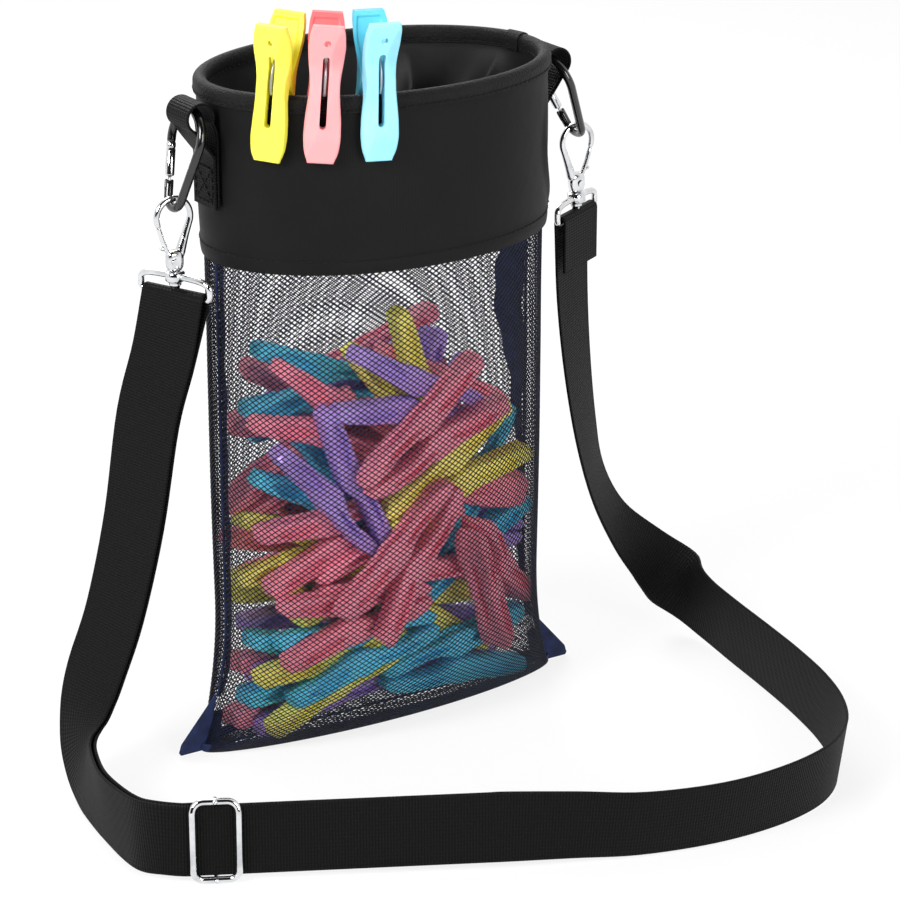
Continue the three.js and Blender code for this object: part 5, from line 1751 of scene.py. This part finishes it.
@dataclass
class ClippedPegs:
    """The pegs that hang on the rim, two levers and a spring each."""

    mould: LeverMould = field(default_factory=LeverMould)
    fulcrum: float = 0.008
    spring_rise: float = 0.001
    spring_half: Pair = (0.0088, 0.0118)
    spring_wire: float = 0.0008

    def build(self) -> None:
        """Moulds the levers and bends the springs."""
        for colour in PegColour:
            word = f"{colour.name.lower()}_peg"
            # The back lever takes the darker copy of the colour, painted shade.
            for lever, body, finish in zip(("front", "back"), (word, f"{word}_back"), colour.value):
                self.lever(word, lever, body, finish)
            self.spring(word)

    def ways(self, word: str) -> tuple[Array, Array, Array]:
        """Returns a peg's ways to the right, out from the rim and up to the handles."""
        right = unit(np.array(JOINTS[f"{word}_squeeze"]["axis"]))
        out = unit(np.cross(right, UP))
        return right, out, np.cross(out, right)

    def lever(self, word: str, lever: str, body: str, finish: Finish) -> None:
        """Moulds one lever.

        Args:
            word: The peg's name.
            lever: Which of its two levers.
            body: The body that carries the lever.
            finish: Its colour.
        """
        right, out, up = self.ways(word)
        facing = 1 if lever == "front" else -1
        spot = np.array(JOINTS[f"{word}_squeeze"]["pos_m"]) - up * self.fulcrum
        form = Form()
        self.mould.shape(form, spot, right * facing, out * facing, up)
        settle(form.build(f"{word}_{lever}_arm", finish, 32), body, word, f"{word}_{lever}_lever")

    def spring(self, word: str) -> None:
        """Bends one C of spring wire round the pivot, down in the slots."""
        _, out, up = self.ways(word)
        centre = np.array(JOINTS[f"{word}_squeeze"]["pos_m"]) + up * self.spring_rise
        turns = np.radians(np.linspace(-35, 215, 48))
        deep, tall = self.spring_half
        ring = centre + np.cos(turns)[:, None] * out * deep + np.sin(turns)[:, None] * up * tall
        form = Form()
        form.tube(ring, self.spring_wire, sides=10)
        settle(form.build(f"{word}_spring_wire", Finishes.STEEL), word, "spring_steel", f"{word}_spring")


class LooseColour(Enum):
    """The colours of the pegs in the pouch, each with its slot and finish."""

    R = ("peg_rose", Finishes.ROSE)
    P = ("peg_purple", Finishes.PURPLE)
    O = ("peg_olive", Finishes.OLIVE)
    T = ("peg_teal", Finishes.TEAL)


@dataclass(frozen=True)
class PegMould:
    """The two levers of a loose peg, jaws on +X of its own frame.

    A station is a place along the peg, the lever's middle above the peg's own, half its thickness,
    half its width, how deep its slot is and half the height of the recess in its sides.
    """

    stations: tuple[tuple[float, float, float, float, float, float], ...] = (
        (0.0448, 0.0019, 0.0007, 0.0040, 0.0000, 0.0000),
        (0.0442, 0.0027, 0.0020, 0.0056, 0.0000, 0.0000),
        (0.0415, 0.0038, 0.0034, 0.0068, 0.0000, 0.0000),
        (0.0340, 0.0058, 0.0043, 0.0076, 0.0000, 0.0000),
        (0.0240, 0.0076, 0.0039, 0.0079, 0.0000, 0.0016),
        (0.0170, 0.0084, 0.0038, 0.0076, 0.0028, 0.0020),
        (0.0080, 0.0084, 0.0046, 0.0068, 0.0032, 0.0012),
        (-0.0005, 0.0080, 0.0074, 0.0062, 0.0036, 0.0000),
        (-0.0080, 0.0088, 0.0068, 0.0061, 0.0036, 0.0000),
        (-0.0160, 0.0105, 0.0060, 0.0065, 0.0032, 0.0031),
        (-0.0230, 0.0121, 0.0056, 0.0070, 0.0024, 0.0038),
        (-0.0300, 0.0136, 0.0052, 0.0075, 0.0000, 0.0034),
        (-0.0380, 0.0151, 0.0047, 0.0077, 0.0000, 0.0000),
        (-0.0430, 0.0158, 0.0043, 0.0073, 0.0000, 0.0000),
        (-0.0446, 0.0159, 0.0036, 0.0066, 0.0000, 0.0000),
        (-0.0449, 0.0159, 0.0028, 0.0058, 0.0000, 0.0000),
    )
    slot_half: float = 0.0019
    rounding: float = 0.0015
    recess_depth: float = 0.0040

    def section(self, thick: float, wide: float, slot: float, recess: float) -> Array:
        """Returns one section of a lever: a rounded plate, slotted outside and recessed at its sides."""
        r = min(self.rounding, thick * 0.8, wide * 0.5)
        g, lip = self.slot_half, min(slot, 0.0003)
        h = max(recess, 0.0001)
        floor = wide - min(self.recess_depth, 2.2 * max(recess, 0.0))
        right = [
            (0.0, -thick),
            (wide - r, -thick),
            (wide - 0.29 * r, -thick + 0.29 * r),
            (wide, -thick + r),
            (wide, -h),
            (floor, -0.8 * h),
            (floor, 0.8 * h),
            (wide, h),
            (wide, thick - r),
            (wide - 0.29 * r, thick - 0.29 * r),
            (wide - r, thick),
            (g + lip, thick),
            (g, thick - lip),
            (g, thick - slot),
            (0.0, thick - slot),
        ]
        left = [(-y, z) for y, z in right[-2:0:-1]]
        return np.array(right + left)

    def shape(self, form: Form, at: Placement, width: float = 1.0) -> None:
        """Adds both levers to a form.

        Args:
            form: The peg being moulded.
            at: Where the peg lies.
            width: How much wider than its pattern the peg is.
        """
        rows = smooth_path(np.array(self.stations), 2)
        sections = np.array([self.section(t, w * width, max(d, 0.0), h) for _, _, t, w, d, h in rows])
        for lever in (1, -1):
            line = np.stack([rows[:, 0], np.zeros(len(rows)), lever * rows[:, 1]], axis=1)
            along = unit(np.gradient(line, axis=0))
            outer = np.stack([along[:, 2], np.zeros(len(rows)), -along[:, 0]], axis=1) * lever
            across = everywhere((0, 1, 0), line)
            form.sweep(at.points(line), at.ways(across), at.ways(outer), sections)

    def marks(self) -> Array:
        """Returns places along the middles of both levers."""
        rows = np.array(self.stations)[1:-1]
        upper = np.stack([rows[:, 0], np.zeros(len(rows)), rows[:, 1]], axis=1)
        return np.vstack([upper, upper * np.array([1, 1, -1])])

    def corners(self, width: float) -> Array:
        """Returns the corners of every other section of both levers, for a peg of that width."""
        rows = np.array(self.stations)[1::2]
        ways = [(y, z) for y in (1, -1) for z in (1, -1)]
        upper = [(r[0], r[3] * width * y, r[1] + r[2] * z) for r in rows for y, z in ways]
        return np.vstack([upper, np.array(upper) * np.array([1, 1, -1])])


class Room:
    """How far each place in the pouch is from the nearest peg."""

    LOW: Point = (-0.112, -0.066, 0.0)
    HIGH: Point = (0.112, 0.066, 0.26)

    def __init__(self, step: float = 0.0035) -> None:
        """Starts with an empty pouch.

        Args:
            step: The distance between neighbouring places.
        """
        self.step = step
        axes = [np.arange(low, high, step) for low, high in zip(self.LOW, self.HIGH)]
        self.places = np.stack(np.meshgrid(*axes, indexing="ij"), axis=-1)
        self.clear = np.full(self.places.shape[:3], 1.0)

    def fill(self, marks: Array) -> None:
        """Takes the room round the marks of one peg."""
        for mark in marks:
            self.clear = np.minimum(self.clear, np.linalg.norm(self.places - mark, axis=-1))

    def at(self, spots: Array) -> Array:
        """Returns the clear distance at each spot."""
        index = np.rint((spots - np.array(self.LOW)) / self.step).astype(int)
        index = np.clip(index, 0, np.array(self.clear.shape) - 1)
        return self.clear[index[..., 0], index[..., 1], index[..., 2]]


class Lie(Enum):
    """Where a peg of the load lies: along the base, against the net, or in the heap between."""

    BASE = "base"
    WALL = "wall"
    HEAP = "heap"


@dataclass
class LoosePegs:
    """The pegs that fill the pouch.

    Each leaning peg has its colour, its place across and up, and its heading in degrees. The rest of
    the load is settled into the room between them: along the base, up the sides, then in the middle.
    """

    mould: PegMould = field(default_factory=PegMould)
    form: PouchForm = field(default_factory=PouchForm)
    leaning: tuple[tuple[str, float, float, float], ...] = (
        ("R", 0.003, 0.170, 211),
        ("R", -0.009, 0.103, 51),
        ("P", -0.040, 0.142, -58),
        ("R", -0.031, 0.070, 3),
        ("O", 0.027, 0.139, 205),
        ("P", 0.002, 0.187, -20),
        ("O", -0.038, 0.0353, 13),
        ("T", 0.037, 0.025, 183),
        ("T", 0.040, 0.092, 220),
        ("R", -0.038, 0.177, -28),
        ("R", -0.036, 0.113, 9),
        ("O", 0.008, 0.183, -62),
        ("P", -0.034, 0.023, 2),
        ("O", 0.031, 0.054, 158),
        ("T", -0.032, 0.134, -38),
        ("R", 0.034, 0.175, -21),
        ("T", -0.031, 0.189, -14),
        ("P", -0.024, 0.044, 8),
        ("O", 0.036, 0.100, 228),
        ("R", -0.032, 0.102, -25),
        ("T", -0.008, 0.152, 17),
        ("R", 0.018, 0.182, 190),
    )
    load: tuple[tuple[Lie, str], ...] = (
        (Lie.BASE, "PRTOPTRORPTO"),
        (Lie.WALL, "RTRPORRTPRORTPRORTRPRTOR"),
        (Lie.HEAP, "TRPORTROPRTORPRRTRPOTRRRPTRPOTRPRO"),
    )
    wall_spans: tuple[Pair, Pair] = ((142, 218), (306, 384))
    top: float = 0.178
    room: float = 0.0074
    gap: float = 0.0022
    lowest: float = 0.006
    level_step: float = 0.003
    headroom: float = 0.03
    width: float = 1.15
    leaning_width: float = 0.9
    ease: float = 0.0009
    tries: int = 300
    seed: int = 21

    def build(self) -> None:
        """Moulds the leaning pegs over their nodes, then the rest of the load."""
        space = Room()
        for number, (letter, x, z, heading) in enumerate(self.leaning, 1):
            node = f"loose_peg_{number:02d}"
            low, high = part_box(node)
            depth = (low[1] + high[1]) / 2
            at = Placement((x, depth - math.copysign(self.ease, depth), z), rotation("Y", -heading))
            space.fill(at.points(self.mould.marks()))
            self.peg(f"pouch_peg_{number:02d}", letter, at, self.leaning_width, node)
        chance = np.random.default_rng(self.seed)
        number = 0
        for lie, letters in self.load:
            for letter in letters:
                at = self.settled(chance, space, lie)
                if at:
                    number += 1
                    space.fill(at.points(self.mould.marks()))
                    self.peg(f"filling_peg_{number:02d}", letter, at, self.width)

    def peg(self, name: str, letter: str, at: Placement, width: float, *nodes: str) -> None:
        """Moulds one peg where it lies."""
        slot, finish = LooseColour[letter].value
        form = Form()
        self.mould.shape(form, at, width)
        settle(form.build(name, finish, 50), "bag", slot, *nodes)

    def posed(self, chance: np.random.Generator, lie: Lie) -> Placement:
        """Picks a place across the pouch and a turn for one more peg."""
        side = chance.integers(0, 2)
        pitch = chance.integers(0, 2) * 180
        roll = chance.integers(0, 4) * 90 + chance.uniform(-25, 25)
        if lie is Lie.BASE:
            x = chance.uniform(-0.85, 0.85) * self.form.belly[0]
            y = chance.uniform(-0.35, 0.5) * self.form.belly[1]
            heading = chance.uniform(-12, 12)
            pitch += chance.uniform(-16, 16)
            roll = chance.integers(0, 2) * 180 + chance.uniform(-14, 14)
        else:
            wall = lie is Lie.WALL
            angle = math.radians(chance.uniform(*self.wall_spans[side]) if wall else chance.uniform(0, 360))
            reach = chance.uniform(0.74, 0.94) if wall else math.sqrt(chance.uniform(0, 0.6))
            x = self.form.belly[0] * math.cos(angle) * reach
            y = self.form.belly[1] * math.sin(angle) * reach
            tangent = math.degrees(math.atan2(x / self.form.belly[0] ** 2, -y / self.form.belly[1] ** 2))
            heading = tangent + chance.uniform(-16, 16) if wall else chance.uniform(0, 360)
            pitch += chance.uniform(-62, 62)
        return Placement((x, y, 0), rotation("Z", heading) @ rotation("Y", pitch) @ rotation("X", roll))

    def settled(self, chance: np.random.Generator, space: Room, lie: Lie) -> Placement | None:
        """Finds the lowest room for one more peg.

        Args:
            chance: Where its turns and places come from.
            space: The room that is left.
            lie: Which part of the load it belongs to.

        Returns:
            Where it lies, or None if there is no room.
        """
        levels = np.arange(self.lowest, self.top, self.level_step)
        rise = levels[:, None, None] * UP
        best: Placement | None = None
        for _ in range(self.tries):
            trial = self.posed(chance, lie)
            hull = trial.points(self.mould.corners(self.width))[None] + rise
            width, depth = self.form.half_axes(hull[..., 2])
            share = (hull[..., 0] / (width - self.gap)) ** 2 + (hull[..., 1] / (depth - self.gap)) ** 2
            level_ok = (hull[..., 2] > self.gap) & (hull[..., 2] < self.top + self.headroom)
            free = ((share < 1) & level_ok).all(axis=1)
            if free.any():
                places = trial.points(self.mould.marks())[None] + rise
                free &= (space.at(places) > self.room).all(axis=1)
            if free.any():
                level = float(levels[free.argmax()])
                if best is None or level < best.origin[2]:
                    best = Placement((trial.origin[0], trial.origin[1], level), trial.turn)
        return best


def main() -> None:
    """Builds the bag, piece by piece."""
    logging.basicConfig(level=logging.INFO, format="%(name)s: %(message)s")
    studio = Studio()
    studio.build_camera()
    Strap().build()
    Slider().build()
    NetPouch().build()
    Mouth().build()
    for side, lean in ((Side.LEFT, 14), (Side.RIGHT, 25)):
        WebbingLoop(side).build()
        Carabiner(side, lean).build()
        SnapHook(side).build()
    ClippedPegs().build()
    LoosePegs().build()
    studio.build_light()
    studio.build_floor()


if __name__ == "__main__":
    main()
